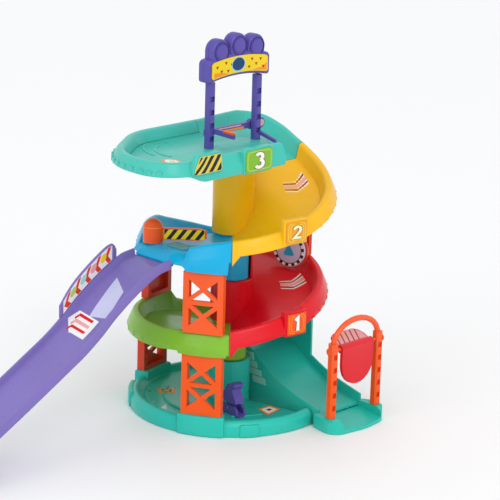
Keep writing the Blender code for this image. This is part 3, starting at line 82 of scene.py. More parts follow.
# Procedural plastics and prints
def group_finish():
    """Shared surface: faint mottle in the colour, uneven gloss and a fine moulded texture."""
    g = bpy.data.node_groups.new("moulded finish", "ShaderNodeTree")
    for name, kind, way in (("Color", "Color", "INPUT"), ("Gloss", "Float", "INPUT"),
                            ("Grain", "Float", "INPUT"), ("Color", "Color", "OUTPUT"),
                            ("Roughness", "Float", "OUTPUT"), ("Normal", "Vector", "OUTPUT")):
        g.interface.new_socket(name, in_out=way, socket_type="NodeSocket" + kind)
    n, link = g.nodes, g.links.new
    gin, gout = n.new("NodeGroupInput"), n.new("NodeGroupOutput")
    coord = n.new("ShaderNodeTexCoord")

    def noise(scale, detail):
        t = n.new("ShaderNodeTexNoise")
        t.inputs["Scale"].default_value = scale
        t.inputs["Detail"].default_value = detail
        link(coord.outputs["Object"], t.inputs["Vector"])
        return t.outputs["Fac"]

    def ranged(value, lo, hi):
        m = n.new("ShaderNodeMapRange")
        m.inputs["From Min"].default_value = 0.3
        m.inputs["From Max"].default_value = 0.7
        m.inputs["To Min"].default_value = lo
        m.inputs["To Max"].default_value = hi
        link(value, m.inputs["Value"])
        return m.outputs["Result"]

    tint = n.new("ShaderNodeHueSaturation")
    link(gin.outputs["Color"], tint.inputs["Color"])
    link(ranged(noise(22.0, 3.0), 0.965, 1.035), tint.inputs["Value"])
    link(ranged(noise(9.0, 2.0), 0.98, 1.02), tint.inputs["Saturation"])
    add = n.new("ShaderNodeMath")
    add.operation = "ADD"
    link(gin.outputs["Gloss"], add.inputs[0])
    link(ranged(noise(60.0, 3.0), -0.03, 0.05), add.inputs[1])
    bump = n.new("ShaderNodeBump")
    bump.inputs["Distance"].default_value = 0.0001
    link(gin.outputs["Grain"], bump.inputs["Strength"])
    link(noise(1400.0, 2.0), bump.inputs["Height"])
    link(tint.outputs["Color"], gout.inputs["Color"])
    link(add.outputs["Value"], gout.inputs["Roughness"])
    link(bump.outputs["Normal"], gout.inputs["Normal"])
    return g


FINISH = group_finish()


def plastic(name, colour, gloss=0.3, grain=0.06, metallic=0.0, coat=0.08):
    """A moulded plastic with the shared surface."""
    mat = bpy.data.materials.new(name)
    mat.use_nodes = True
    nodes, link = mat.node_tree.nodes, mat.node_tree.links.new
    shader = nodes["Principled BSDF"]
    g = nodes.new("ShaderNodeGroup")
    g.node_tree = FINISH
    g.inputs["Color"].default_value = (*colour, 1.0)
    g.inputs["Gloss"].default_value = gloss
    g.inputs["Grain"].default_value = grain
    link(g.outputs["Color"], shader.inputs["Base Color"])
    link(g.outputs["Roughness"], shader.inputs["Roughness"])
    link(g.outputs["Normal"], shader.inputs["Normal"])
    shader.inputs["Metallic"].default_value = metallic
    shader.inputs["Coat Weight"].default_value = coat
    shader.inputs["Coat Roughness"].default_value = 0.1
    shader.inputs["Specular IOR Level"].default_value = 0.25
    return mat


M = {
    "teal": plastic("teal", (0.022, 0.520, 0.420)),
    "pale_teal": plastic("pale teal", (0.060, 0.520, 0.430)),
    "lime": plastic("lime", (0.210, 0.470, 0.030)),
    "blue": plastic("blue", (0.000, 0.400, 0.700)),
    "red": plastic("red", (0.720, 0.006, 0.016)),
    "yellow": plastic("yellow", (0.900, 0.480, 0.004)),
    "orange": plastic("orange", (0.880, 0.100, 0.012)),
    "brick": plastic("brick", (0.720, 0.050, 0.014)),
    "purple": plastic("purple", (0.105, 0.080, 0.370)),
    "violet": plastic("violet", (0.210, 0.160, 0.470)),
    "grey": plastic("tile grey", (0.140, 0.340, 0.390), 0.4),
    "white": plastic("print white", (0.850, 0.850, 0.840), 0.4),
    "black": plastic("print black", (0.012, 0.012, 0.014), 0.4),
    "navy": plastic("print blue", (0.006, 0.050, 0.160), 0.35),
    "sky": plastic("print light blue", (0.300, 0.620, 0.780), 0.35),
    "pink": plastic("print pink", (0.820, 0.380, 0.380), 0.4),
    "gold": plastic("print yellow", (0.860, 0.620, 0.015), 0.4),
    "mustard": plastic("print mustard", (0.700, 0.560, 0.080), 0.4),
    "orange_print": plastic("print orange", (0.900, 0.280, 0.030), 0.4),
    "dark_red": plastic("print dark red", (0.300, 0.012, 0.016), 0.4),
    "lilac": plastic("print lilac and painted sheen", (0.560, 0.560, 0.790), 0.4),
    "dark_violet": plastic("shadow violet", (0.045, 0.030, 0.200), 0.45),
    "brown": plastic("print brown", (0.200, 0.080, 0.010), 0.5),
    "mint": plastic("print mint", (0.330, 0.720, 0.620), 0.4),
    "pale_lime": plastic("print pale lime", (0.420, 0.640, 0.140), 0.4),
    "beige": plastic("print beige", (0.560, 0.400, 0.360), 0.4),
    "amber": plastic("print amber", (0.800, 0.330, 0.030), 0.4),
    "cream": plastic("print cream", (0.860, 0.820, 0.480), 0.4),
    "steel": plastic("screw steel", (0.520, 0.520, 0.530), 0.32, 0.3, metallic=1.0),
}


# Shape helpers, in millimetres
def piece(name, bm, mat, slot=None, body=BODY, bevel=0.0, sharp=SHARP, place=None):
    """A finished piece in the world frame: faces outward, corners rounded, riding on its body."""
    bmesh.ops.remove_doubles(bm, verts=bm.verts, dist=0.0005)
    bmesh.ops.recalc_face_normals(bm, faces=bm.faces)
    if bevel:
        edges = [e for e in bm.edges if e.is_manifold and e.calc_face_angle(0.0) > CORNER]
        bmesh.ops.bevel(bm, geom=edges, offset=bevel, segments=3, profile=0.5, affect="EDGES",
                        clamp_overlap=True, material=-1)
    if place:
        bmesh.ops.transform(bm, matrix=place, verts=bm.verts)
    bmesh.ops.scale(bm, vec=(MM, MM, MM), verts=bm.verts)
    mesh = bpy.data.meshes.new(name)
    bm.to_mesh(mesh)
    bm.free()
    mesh.shade_smooth()
    mesh.set_sharp_from_angle(angle=sharp)
    mesh.materials.append(M[mat])
    obj = bpy.data.objects.new(name, mesh)
    bpy.context.scene.collection.objects.link(obj)
    if slot or mat in SLOTS:
        slot or mat
    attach(obj, body)
    return obj


def loft(sections, bm=None):
    """A closed body through a row of sections: the first face is extruded from each to the next."""
    bm = bm or bmesh.new()
    ring = [bm.verts.new(p) for p in sections[0]]
    bm.faces.new(ring)
    for section in sections[1:]:
        edges = [bm.edges.get((a, b)) for a, b in zip(ring, ring[1:] + ring[:1])]
        made = bmesh.ops.extrude_edge_only(bm, edges=edges)["geom"]
        fresh = {v for v in made if isinstance(v, bmesh.types.BMVert)}
        ring = [next(e.other_vert(v) for e in v.link_edges if e.other_vert(v) in fresh) for v in ring]
        for v, p in zip(ring, section):
            v.co = p
    bm.faces.new(ring)
    return bm


def prism(outline, z0, z1, bm=None):
    return loft([[(x, y, z0) for x, y in outline], [(x, y, z1) for x, y in outline]], bm)


def circle(r, n, cx=0.0, cy=0.0):
    turns = [2 * math.pi * i / n for i in range(n)]
    return [(cx + r * math.cos(a), cy + r * math.sin(a)) for a in turns]


def polar(r, deg, z):
    a = math.radians(deg)
    return (r * math.cos(a), r * math.sin(a), z)


def fillet(points, radius=1.0, n=2):
    """Round the corners of a closed outline."""
    out = []
    for i, p in enumerate(points):
        here = Vector(p)
        a, b = Vector(points[i - 1]) - here, Vector(points[(i + 1) % len(points)]) - here
        reach = min(radius, 0.42 * a.length, 0.42 * b.length)
        a, b = here + a.normalized() * reach, here + b.normalized() * reach
        for k in range(n + 1):
            t = k / n
            out.append(tuple(a * (1 - t) ** 2 + here * 2 * t * (1 - t) + b * t * t))
    return out


def rounded(corners, n=6):
    """A closed outline from corners given as x, y, radius."""
    pts = []
    for i, (x, y, radius) in enumerate(corners):
        here = Vector((x, y))
        if radius == 0.0:
            pts.append((x, y))
            continue
        a = (Vector(corners[i - 1][:2]) - here).normalized()
        b = (Vector(corners[(i + 1) % len(corners)][:2]) - here).normalized()
        half = a.angle(b) / 2.0
        c = here + (a + b).normalized() * (radius / math.sin(half))
        s, e = here + a * (radius / math.tan(half)) - c, here + b * (radius / math.tan(half)) - c
        a0, a1 = math.atan2(s.y, s.x), math.atan2(e.y, e.x)
        a1 += 2 * math.pi * round((a0 - a1) / (2 * math.pi))
        pts += [(c.x + radius * math.cos(a0 + (a1 - a0) * k / n),
                 c.y + radius * math.sin(a0 + (a1 - a0) * k / n)) for k in range(n + 1)]
    return pts


def inset(outline, d):
    """The outline moved inwards by d."""
    area = sum(a[0] * b[1] - b[0] * a[1] for a, b in zip(outline, outline[1:] + outline[:1]))
    side = 1.0 if area > 0 else -1.0
    out = []
    for i, p in enumerate(outline):
        here = Vector(p)
        a = (here - Vector(outline[i - 1])).normalized()
        b = (Vector(outline[(i + 1) % len(outline)]) - here).normalized()
        n = Vector((-a.y - b.y, a.x + b.x))
        n = n.normalized() if n.length > 1e-6 else Vector((-a.y, a.x))
        grow = 1.0 / max(0.5, n.dot(Vector((-a.y, a.x))))
        out.append(tuple(here + n * side * d * grow))
    return out


def slab(outline, w0, w1, r0, r1, at, bm=None, n=4):
    """An outline carried from w0 to w1 with rounded edges of radius r0 and r1."""
    rows = []
    for r, w, way in ((r0, w0, 1.0), (r1, w1, -1.0)):
        steps = range(n + 1) if r else (n,)
        part = []
        for k in steps:
            a = math.pi / 2.0 * k / n
            part.append((w + way * r * (1.0 - math.cos(a)), r * (1.0 - math.sin(a))))
        rows += part if way > 0 else part[::-1]
    return loft([[at(u, v, w) for u, v in inset(outline, d)] for w, d in rows], bm)


def facing_x(u, v, w):
    return (w, u, v)


def upright(u, v, w):
    return (u, v, w)


def curve_at(points, x):
    """A smooth curve without overshoot through a few points, read at x."""
    row = sorted(points)
    if x <= row[0][0]:
        return row[0][1]
    if x >= row[-1][0]:
        return row[-1][1]
    s = [(b[1] - a[1]) / (b[0] - a[0]) for a, b in zip(row, row[1:])]
    m = [s[0]] + [2 * a * b / (a + b) if a * b > 0 else 0.0 for a, b in zip(s, s[1:])] + [s[-1]]
    i = max(k for k in range(len(row) - 1) if row[k][0] <= x)
    a, b = row[i], row[i + 1]
    w = b[0] - a[0]
    t = (x - a[0]) / w
    return ((1 + 2 * t) * (1 - t) ** 2 * a[1] + t * (1 - t) ** 2 * w * m[i]
            + t * t * (3 - 2 * t) * b[1] + t * t * (t - 1) * w * m[i + 1])


def level_z(level):
    return L1 + RISE * (level - 1)


def red_z(deg):
    return level_z(2) - RISE * curve_at(RED_DROP, deg)


def yellow_z(deg):
    return level_z(3) - RISE * curve_at(YELLOW_DROP, deg)


def swell(deg, start, amount):
    return TRACK_R + amount * math.sin(math.pi * (start - deg) / (start + 45.0))


def red_r(deg):
    return swell(deg, 135.0, -7.0)


def yellow_r(deg):
    return swell(deg, 90.0, -1.5)


def stations(d0, d1, extra=()):
    count = max(1, round(abs(d1 - d0) / STEP))
    row = [d0 + (d1 - d0) * i / count for i in range(count + 1)]
    row = [d for d in row if all(abs(d - e) > 0.8 for e in extra)]
    return sorted(set(row) | set(extra))


def rim_profile(outer, inner, rim=RIM_H, skirt=SKIRT_H):
    t, edge, foot = WALL, outer + FLARE, outer - RIM_W - RIM_SLOPE
    sh = min(13.0, skirt - 2.0)
    return [(inner, 0), (foot, 0), (outer - RIM_W, rim - 2), (outer - RIM_W + 2, rim), (outer - 1.5, rim),
            (outer, rim - 1.5), (edge, rim - sh), (edge, rim - skirt), (edge - t, rim - skirt),
            (edge - t, rim - sh - 0.4), (outer - t, rim - t - 1), (outer - RIM_W + t, rim - t - 1),
            (foot + 3, -t), (inner, -t)]


def lip_profile(outer, inner):
    t, edge = WALL, outer + FLARE
    return [(inner, 0), (outer - 12, 0), (outer - 8, -0.8), (outer - 5, -1.8), (outer - 1.5, -3.4),
            (outer, -4.2), (outer + 2.5, -6), (edge, -8), (edge, -8 - t), (outer + 2.5, -6 - t),
            (outer - 1.5, -3.4 - t), (outer - 5, -1.8 - t), (outer - 9, -t), (inner, -t)]


def collar_profile(outer, inner, drop, rim):
    p = rim_profile(outer, inner, rim)
    p[7], p[8] = (outer + FLARE, -drop), (90.0, -drop)
    p[9], p[10], p[11], p[12] = (90.0, 0.5 - drop), (90.0, -3.0), (89.8, -2.7), (89.6, -2.4)
    return p


def put(profile, deg, z, radius=1.3):
    return [polar(r, deg, z + h) for r, h in fillet(profile, radius)]


def arc_block(r0, r1, d0, d1, z0, z1, bm=None):
    """A block between two radii, angles and heights (numbers or functions of the angle)."""
    f = [v if callable(v) else (lambda d, v=v: v) for v in (r0, r1, z0, z1)]
    return loft([[polar(f[0](d), d, f[2](d)), polar(f[1](d), d, f[2](d)),
                  polar(f[1](d), d, f[3](d)), polar(f[0](d), d, f[3](d))] for d in stations(d0, d1)], bm)


def turned(profile, count=64):
    """A body turned about the upright axis from a closed half section."""
    bm = bmesh.new()
    verts = [bm.verts.new((r, 0.0, z)) for r, z in profile]
    edges = [bm.edges.new((a, b)) for a, b in zip(verts, verts[1:] + verts[:1]) if a.co.x + b.co.x > 0.0]
    bmesh.ops.spin(bm, geom=verts + edges, cent=(0, 0, 0), axis=(0, 0, 1), dvec=(0, 0, 0),
                   angle=2.0 * math.pi, steps=count, use_merge=True)
    return bm


# Prints and stickers: thin flat shapes laid on a surface
def stamp(name, outlines, mat, at, lift=0.3, cell=4.0, body=BODY):
    """Thin shapes in u and v, laid on a surface by at(u, v, h)."""
    bm = bmesh.new()
    for outline in outlines:
        bm.faces.new([bm.verts.new((u, v, 0.0)) for u, v in outline])
    for axis in (0, 1):
        values = [v.co[axis] for v in bm.verts]
        spot = math.floor(min(values) / cell) * cell + cell
        while spot < max(values):
            co, no = Vector((0, 0, 0)), Vector((0, 0, 0))
            co[axis], no[axis] = spot, 1.0
            whole = bm.verts[:] + bm.edges[:] + bm.faces[:]
            bmesh.ops.bisect_plane(bm, geom=whole, plane_co=co, plane_no=no)
            spot += cell
    low = bm.faces[:]
    top = bmesh.ops.extrude_face_region(bm, geom=low)
    raised = {v for v in top["geom"] if isinstance(v, bmesh.types.BMVert)}
    for v in bm.verts:
        v.co = at(v.co.x, v.co.y, lift if v in raised else lift - 0.5)
    return piece(name, bm, mat, body=body, sharp=math.radians(60.0))


def stroke(path, width):
    """The outline of a line of some width."""
    left, right = [], []
    for i, p in enumerate(path):
        here = Vector(p)
        a = (here - Vector(path[i - 1])).normalized() if i else None
        b = (Vector(path[i + 1]) - here).normalized() if i < len(path) - 1 else None
        a, b = a or b, b or a
        n = Vector((-a.y - b.y, a.x + b.x)).normalized()
        reach = width / 2.0 / max(0.5, n.dot(Vector((-a.y, a.x))))
        left.append(tuple(here + n * reach))
        right.append(tuple(here - n * reach))
    return left + right[::-1]


def bow(cx, cy, r, d0, d1, n=10):
    return [(cx + r * math.cos(math.radians(d0 + (d1 - d0) * k / n)),
             cy + r * math.sin(math.radians(d0 + (d1 - d0) * k / n))) for k in range(n + 1)]


DIGITS = {
    1: [[(-2.2, 4.0), (0.4, 6.6), (0.4, -6.6)]],
    2: [bow(0, 3.0, 3.4, 170, -40) + [(-3.4, -6.0), (3.8, -6.0)]],
    3: [bow(-0.3, 3.4, 3.0, 150, -75), bow(-0.3, -3.1, 3.5, 80, -150)],
}


def digit(name, number, at, lift, wide, tall, face="white"):
    """A numeral with a dark edge behind it."""
    for label, width, mat, up in (("edge", 4.4, "brown", 0.0), ("face", 3.0, face, 0.25)):
        for k, line in enumerate(DIGITS[number]):
            outline = [(u * wide, v * tall) for u, v in stroke(line, width)]
            stamp(name + "_" + label + "_" + str(k), [outline], mat, at, lift + up + 0.05 * k, 20.0)


def stripes(half_u, half_v, pitch, lean, share=0.5, start=0.0):
    """Slanted stripes cut off at a box."""
    out = []
    reach = half_u + abs(lean) * half_v
    x = -reach + start
    while x < reach:
        quad = [(x - lean * half_v, -half_v), (x + pitch * share - lean * half_v, -half_v),
                (x + pitch * share + lean * half_v, half_v), (x + lean * half_v, half_v)]
        quad = clip(clip(quad, half_u, 1.0), half_u, -1.0)
        if len(quad) > 2:
            out.append(quad)
        x += pitch
    return out


def clip(poly, limit, side):
    """Keep the part of a polygon with side * u under a limit."""
    out = []
    for i, p in enumerate(poly):
        q = poly[(i + 1) % len(poly)]
        inside, then = side * p[0] <= limit, side * q[0] <= limit
        if inside:
            out.append(p)
        if inside != then:
            t = (side * limit - p[0]) / (q[0] - p[0])
            out.append((side * limit, p[1] + (q[1] - p[1]) * t))
    return out


def on_skirt(r, mid, z):
    """Maps u along a skirt, v up and h out."""
    return lambda u, v, h: polar(r + h, mid + math.degrees(u / r), z(mid + math.degrees(u / r)) + v)


def on_floor(z):
    """Maps an angle, a radius and h up onto a spiral floor."""
    return lambda u, v, h: polar(v, u, z(u) + h)


def tablets(name, colour, degs, radius, z_mid, w=5.0, h=6.5, lift=0.5):
    """A row of small raised tablets round a skirt."""
    bm = bmesh.new()
    for d in degs:
        r = radius(d) if callable(radius) else radius
        half = math.degrees(w / 2.0 / r)
        arc_block(r - 0.8, r + lift, d - half, d + half, z_mid(d) - h / 2.0, z_mid(d) + h / 2.0, bm)
    return piece(name, bm, colour, bevel=0.3)


SLOTS = {m["slot"] for m in frame["record"]["materials"]}
SLOT_OF = {p["node"]: p["material_slot"] for p in frame["record"]["subparts"]}


def carry(name, width):
    """Show a CAD node itself, with rounded edges and its plastic."""
    node = frame["nodes"][name]
    node.data.materials.clear()
    node.data.materials.append(M[SLOT_OF[name]])
    mod = node.modifiers.new("rounding", "BEVEL")
    mod.width = width
    mod.segments = 3
    mod.limit_method = "ANGLE"
    mod.angle_limit = math.radians(30.0)
    mod.harden_normals = True


# Trays with their necks
def tray(name, level, colour, floor, rim, out, collars, neck, opening=None):
    extra = [d for lo, hi, _ in collars for d in (lo - 0.6, lo, hi, hi + 0.6)]
    if opening:
        extra = [d for d in extra if abs(d - opening[1]) > 1.5] + [opening[0] - 3, opening[0], opening[1]]
    rows = []
    for d in stations(BACK + SEAM, FRONT - SEAM, tuple(sorted(set(extra)))):
        z, h = curve_at(floor, d), curve_at(rim, d)
        outer = TRACK_R + curve_at(out, d)
        p = rim_profile(outer, NECK_IN, h - z)
        for lo, hi, bottom in collars:
            if lo <= d <= hi:
                p = collar_profile(outer, NECK_IN, z - bottom, h - z)
        if opening and opening[0] <= d <= opening[1]:
            reach = -SIDE_TOP_Y / abs(math.sin(math.radians(d))) - FLARE
            side = (reach + FLARE) * math.cos(math.radians(d))
            p = lip_profile(reach if SIDE_X0 <= side <= SIDE_X1 else TRACK_R, NECK_IN)
        rows.append(put(p, d, z))
    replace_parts(piece(name, loft(rows), colour), name)
    z = level_z(level)
    disc, neck_in = HUB_R - 1.8, COLLAR_R - WALL
    piece(name + "_neck", turned([(0, z), (disc - 0.4, z), (disc, z - 0.4), (disc, z - WALL),
                                  (COLLAR_R, z - WALL), (COLLAR_R, neck + 0.4), (COLLAR_R - 0.4, neck),
                                  (neck_in, neck), (neck_in, z - WALL), (0, z - WALL)]), colour)


front = (FRONT_T - SOCKET, FRONT_T + SOCKET)
rear = (REAR_T - SOCKET, REAR_T + SOCKET)
tray("level_1_tray", 1, "lime", TRAY_1_FLOOR, TRAY_1_RIM, [(315.0, 0.0), (135.0, 0.0)],
     [(*front, 84.0), (*rear, 69.0)], NECK_1_FOOT)
tray("level_2_tray", 2, "blue", TRAY_2_FLOOR, TRAY_2_RIM, TRAY_2_OUT, [(*front, 170.0), (*rear, 154.0)],
     NECK_2_FOOT, (246.0, 287.0))
tablets("tray_1_tablets", "lime", range(214, 284, 11), TRACK_R + FLARE,
        lambda d: curve_at(TRAY_1_RIM, d) - 16.4, h=5.0)
tablets("tray_2_tablets", "blue", range(206, 244, 9), lambda d: TRACK_R + FLARE + curve_at(TRAY_2_OUT, d),
        lambda d: curve_at(TRAY_2_RIM, d) - 16.4, h=5.0)


# Ramps with their columns
def ramp(name, colour, d0, zf, rf, skirt, tag_at, tube, start_rim=RIM_H):
    rows = []
    for d in stations(FRONT - 360.0 + SEAM, d0 - SEAM, (FRONT - 355.4,)):
        foot = max(0.0, 1.0 - (d - FRONT + 360.0) / 4.6)
        rim = curve_at([(d0 - 40.0, RIM_H), (d0, start_rim)], d)
        rows.append(put(rim_profile(rf(d), HUB_R - 1.2, rim, skirt + 10.0 * foot), d, zf(d)))
    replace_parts(piece(name, loft(rows), colour), name)
    piece(name + "_column", turned(tube), colour)
    mid, lift = tag_at
    face, half, z = rf(mid) + FLARE + 1.2, TAG_SPAN / 2.0, zf(mid) + lift
    pad = arc_block(face - 9.0, face, mid - half - 1.2, mid + half + 1.2, z - PAD_HALF, z + PAD_HALF)
    piece(name + "_tag_pad", pad, colour, bevel=1.6)
    return face + FIT


low, top, inner = L1 + FIT, NECK_2_FOOT - FIT, HUB_R - WALL
face_1 = ramp("red_ramp", "red", 135.0, red_z, red_r, 17.3, TAG_1_AT,
              [(HUB_R, low), (HUB_R, top - 1.0), (HUB_R - 1.0, top), (13.5, top), (13.5, top - WALL),
               (inner, top - WALL), (inner, low)], 12.0)
piece("red_back_wall", arc_block(inner, HUB_R, 40.0, 134.0, 130.0, level_z(2) - WALL - FIT), "red",
      bevel=0.5)
low, top = level_z(2) + FIT, level_z(3) - WALL - FIT
face_2 = ramp("yellow_ramp", "yellow", 90.0, yellow_z, yellow_r, 14.5, TAG_2_AT,
              [(HUB_R, low), (HUB_R, top), (inner, top), (inner, low)])
tablets("red_tablets", "red", range(12, 60, 8), lambda d: red_r(d) + FLARE, lambda d: red_z(d) + 0.9, h=3.2)
tablets("yellow_tablets", "yellow", range(12, 60, 8), lambda d: yellow_r(d) + FLARE,
        lambda d: yellow_z(d) + 2.6, h=1.8)


# Level tags and their numbers
def ramp_tag(name, number, mat, ring, tag_at, face, zf, wide, tall, ink):
    mid, lift = tag_at
    half = TAG_SPAN / 2.0
    z = zf(mid) + lift
    plate = arc_block(face, face + 1.0, mid - half, mid + half, z - TAG_HALF, z + TAG_HALF)
    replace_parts(piece(name, plate, mat, slot="orange", bevel=0.35), name)
    at = on_skirt(face + 1.0, mid, lambda d: z)
    for k, (w, h) in enumerate(((10.4, 9.2), (8.0, 7.6))):
        frame_line = rounded([(-w, -h, 4.5), (w, -h, 4.5), (w, h, 4.5), (-w, h, 4.5)], 4)
        frame_line.append(frame_line[0])
        stamp(name + "_ring_" + str(k), [stroke(frame_line, 0.8)], ring, at, 0.1, 30.0)
    digit(name + "_number", number, at, 0.15, wide, tall, ink)


ramp_tag("level_tag_1", 1, "orange", "orange_print", TAG_1_AT, face_1, red_z, 1.35, 1.05, "white")
ramp_tag("level_tag_2", 2, "amber", "gold", TAG_2_AT, face_2, yellow_z, 1.15, 0.9, "cream")


# Chevrons on the two ramps
def chevrons(name, at, deg, r, spread=1.0):
    """White and pink bands with a bend, between dark lines, across a lane."""
    def band(mid, w):
        line = [(mid, r - 13.0), (mid, r), (mid + 10.0, r + 15.0)]
        return [(u - w / 2.0, v) for u, v in line] + [(u + w / 2.0, v) for u, v in line[::-1]]
    stamp(name + "_white", [band(deg, 13.0 * spread)], "white", at, 0.12, 3.0)
    for k, (offset, width, mat) in enumerate(((0.0, 3.4, "pink"), (3.9, 1.6, "dark_red"),
                                              (-3.9, 1.6, "dark_red"))):
        stamp(name + "_" + str(k), [band(deg + offset * spread, width * spread)], mat, at, 0.2, 3.0)


chevrons("yellow_chevrons", on_floor(yellow_z), 60.5, 66.0)
chevrons("red_chevrons", on_floor(red_z), 53.5, 64.0, 1.1)

# Deck lane and platform
rows = []
for d in stations(90.0 + SEAM, 180.0 - SEAM):
    straight = -65.0 / math.cos(math.radians(d)) if d > 100.0 else 1010.0
    outer = (straight ** -10.0 + TRACK_R ** -10.0) ** -0.1
    share = curve_at([(90.0, 1.0), (170.0, 0.0)], d)
    p = rim_profile(outer, HUB_R + 0.3, 11.0 + 5.0 * share, 13.0 + 1.5 * share)
    rows.append(put(p, d, yellow_z(d)))
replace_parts(piece("deck_ramp", loft(rows), "pale_teal"), "deck_ramp")

DECK_BACK_X, DECK_FRONT_X = -65.0, 67.0
corners = [(DECK_BACK_X, -0.15, 0.0), (DECK_BACK_X, -85.0, 70.0), (-14.0, -157.0, 75.0),
           (DECK_FRONT_X, -157.0, 34.0), (DECK_FRONT_X, 0.0, 0.0)]
path = [Vector(p) for p in rounded(corners, 12)]
line = [path[0]]
for p in path[1:]:
    gap = (p - line[-1]).length
    count = max(1, round(gap / 7.0))
    a = line[-1]
    line += [a + (p - a) * i / count for i in range(1, count + 1)]
bm = bmesh.new()
rows = []
for i, here in enumerate(line):
    a = (here - line[i - 1]).normalized() if i else None
    b = (line[i + 1] - here).normalized() if i < len(line) - 1 else None
    along = ((a or b) + (b or a)).normalized()
    out = Vector((along.y, -along.x)) / along.dot(a or b)
    deep = curve_at([(-130.0, 0.0), (-112.0, 1.0)], here.y) if here.x > 40.0 else 0.0
    profile = fillet(rim_profile(0.0, -RIM_W - RIM_SLOPE - 1.0, 11.0, 13.0 + 8.0 * deep)[1:-1], 1.3)
    profile = [(-13.0, 0.0)] + profile + [(-13.0, -WALL)]
    rows.append([bm.verts.new((*(here + out * r), level_z(3) + h)) for r, h in profile])
for a, b in zip(rows, rows[1:]):
    for k in range(len(a) - 1):
        bm.faces.new((a[k], a[k + 1], b[k + 1], b[k]))
pad = [(DECK_FRONT_X - 20.0, 9.0), (14.0, 33.0), (0.5, 33.0)] + bow(0, 0, HUB_R, 89.2, 180.8, 16)
up = [bm.verts.new((x, y, level_z(3))) for x, y in pad]
down = [bm.verts.new((x, y, level_z(3) - WALL)) for x, y in pad]
bm.faces.new([r[0] for r in rows] + up)
bm.faces.new([r[-1] for r in rows] + down)
for a in range(len(pad) - 1):
    bm.faces.new((up[a], up[a + 1], down[a + 1], down[a]))
bm.faces.new(rows[-1] + [down[0], up[0]])
bm.faces.new(rows[0] + [down[-1], up[-1]])
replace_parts(piece("top_deck", bm, "pale_teal"), "top_deck")

# Plates on the deck's front skirt
deck_face = DECK_FRONT_X + FLARE + 1.6
skirt_plates = (("hazard_plate", -128.5, -90.0, -0.5, 16.5, 8.0, 2.5, "mustard"),
                ("level_tag_3", -58.0, -22.0, -9.5, 12.5, 0.0, 0.0, "lime"))
for name, y0, y1, z0, z1, lean0, lean1, mat in skirt_plates:
    z0, z1, e = z0 + level_z(3), z1 + level_z(3), 1.8
    backing = rounded([(y0 - e, z0 - e, 3.5), (y1 + e, z0 - e, 3.5), (y1 + e - lean1, z1 + e, 3.5),
                       (y0 - e + lean0, z1 + e, 3.5)])
    piece(name + "_backing", slab(backing, deck_face - 6.0, deck_face, 0, 1.3, facing_x), "pale_teal")
    plate = rounded([(y0, z0, 3), (y1, z0, 3), (y1 - lean1, z1, 3), (y0 + lean0, z1, 3)])
    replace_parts(piece(name, slab(plate, deck_face + 0.3, deck_face + 1.2, 0, 0.3, facing_x), mat,
                      slot=SLOT_OF[name]), name)
    mid_y, mid_z = (y0 + y1) / 2.0, (z0 + z1) / 2.0
    if mat == "mustard":
        def at(u, v, h, y=mid_y, z=mid_z):
            side = 1.0 - (v + 8.5) / 17.0 * (0.42 if u < 0.0 else 0.13)
            return (deck_face + 1.2 + h, y + u * side, z + v)
        stamp("hazard_stripes", stripes(18.0, 7.9, 10.6, 0.85, 0.52), "black", at, 0.08, 2.5)
    else:
        def at(u, v, h, y=mid_y, z=mid_z):
            return (deck_face + 1.2 + h, y + u, z + v)
        edge = rounded([(-16.0, -9.3, 4), (16.0, -9.3, 4), (16.0, 9.3, 4), (-16.0, 9.3, 4)], 4)
        stamp("level_3_frame", [stroke(edge + edge[:1], 0.9)], "pale_lime", at, 0.05, 60.0)
        digit("level_number_3", 3, at, 0.08, 1.5, 1.05)


def on_deck(u, v, h):
    return (u, v, level_z(3) + h)


def oval(cx, cy, rx, ry, n=28):
    return [(cx + rx * u, cy + ry * v) for u, v in circle(1.0, n)]


for label, rx, ry, mat, lift in (("", 12.0, 8.5, "orange_print", 0.1), ("_inner", 8.5, 5.6, "white", 0.2),
                                 ("_dot", 3.8, 2.4, "gold", 0.28)):
    stamp("deck_sticker" + label, [oval(21.5, -107.5, rx, ry)], mat, on_deck, lift, 40.0)
for k, bend in enumerate((bow(-2.0, -62.0, 34.0, 200, 285), bow(-6.0, -58.0, 46.0, 205, 268))):
    rib = slab(stroke(bend, 2.2), level_z(3) - 0.3, level_z(3) + 0.9, 0, 0.5, upright)
    piece("deck_rib_" + str(k), rib, "pale_teal")
bm = bmesh.new()
for here, there in list(zip(line, line[1:]))[::2]:
    along = (there - here).normalized()
    if here.y < -60.0 and here.x < 52.0:
        out = Vector((along.y, -along.x))
        mid = (here + there) / 2.0 + out * FLARE
        ring = [mid + along * a + out * b for a, b in ((-2.8, -1.6), (2.8, -1.6), (2.8, 0.4), (-2.8, 0.4))]
        prism([tuple(p) for p in ring], level_z(3) - 1.6, level_z(3) + 3.6, bm)
piece("deck_tablets", bm, "pale_teal", bevel=0.3)

# Towers, gate and other solids keep their own shape; each group has its width of rounding
CARRIED = ((0.0009, ("front_tower_lower", "front_tower_upper", "rear_tower_lower", "rear_tower_upper")),
           (0.0006, ("gantry_post_left", "gantry_post_right", "gantry_boom", "sign_tower", "lever_bracket",
                     "service_lever", "diverter_gate", "exit_flap")),
           (0.0003, ("boom_pin", "diverter_pin", "lever_pin", "flap_pin", "sign_screw_left",
                     "sign_screw_right")),
           (0.0005, ("exit_arch", "sensor_tile_upper", "base_hub")),
           (0.0016, ("exit_apron",)))
for width, names in CARRIED:
    for name in names:
        carry(name, width)

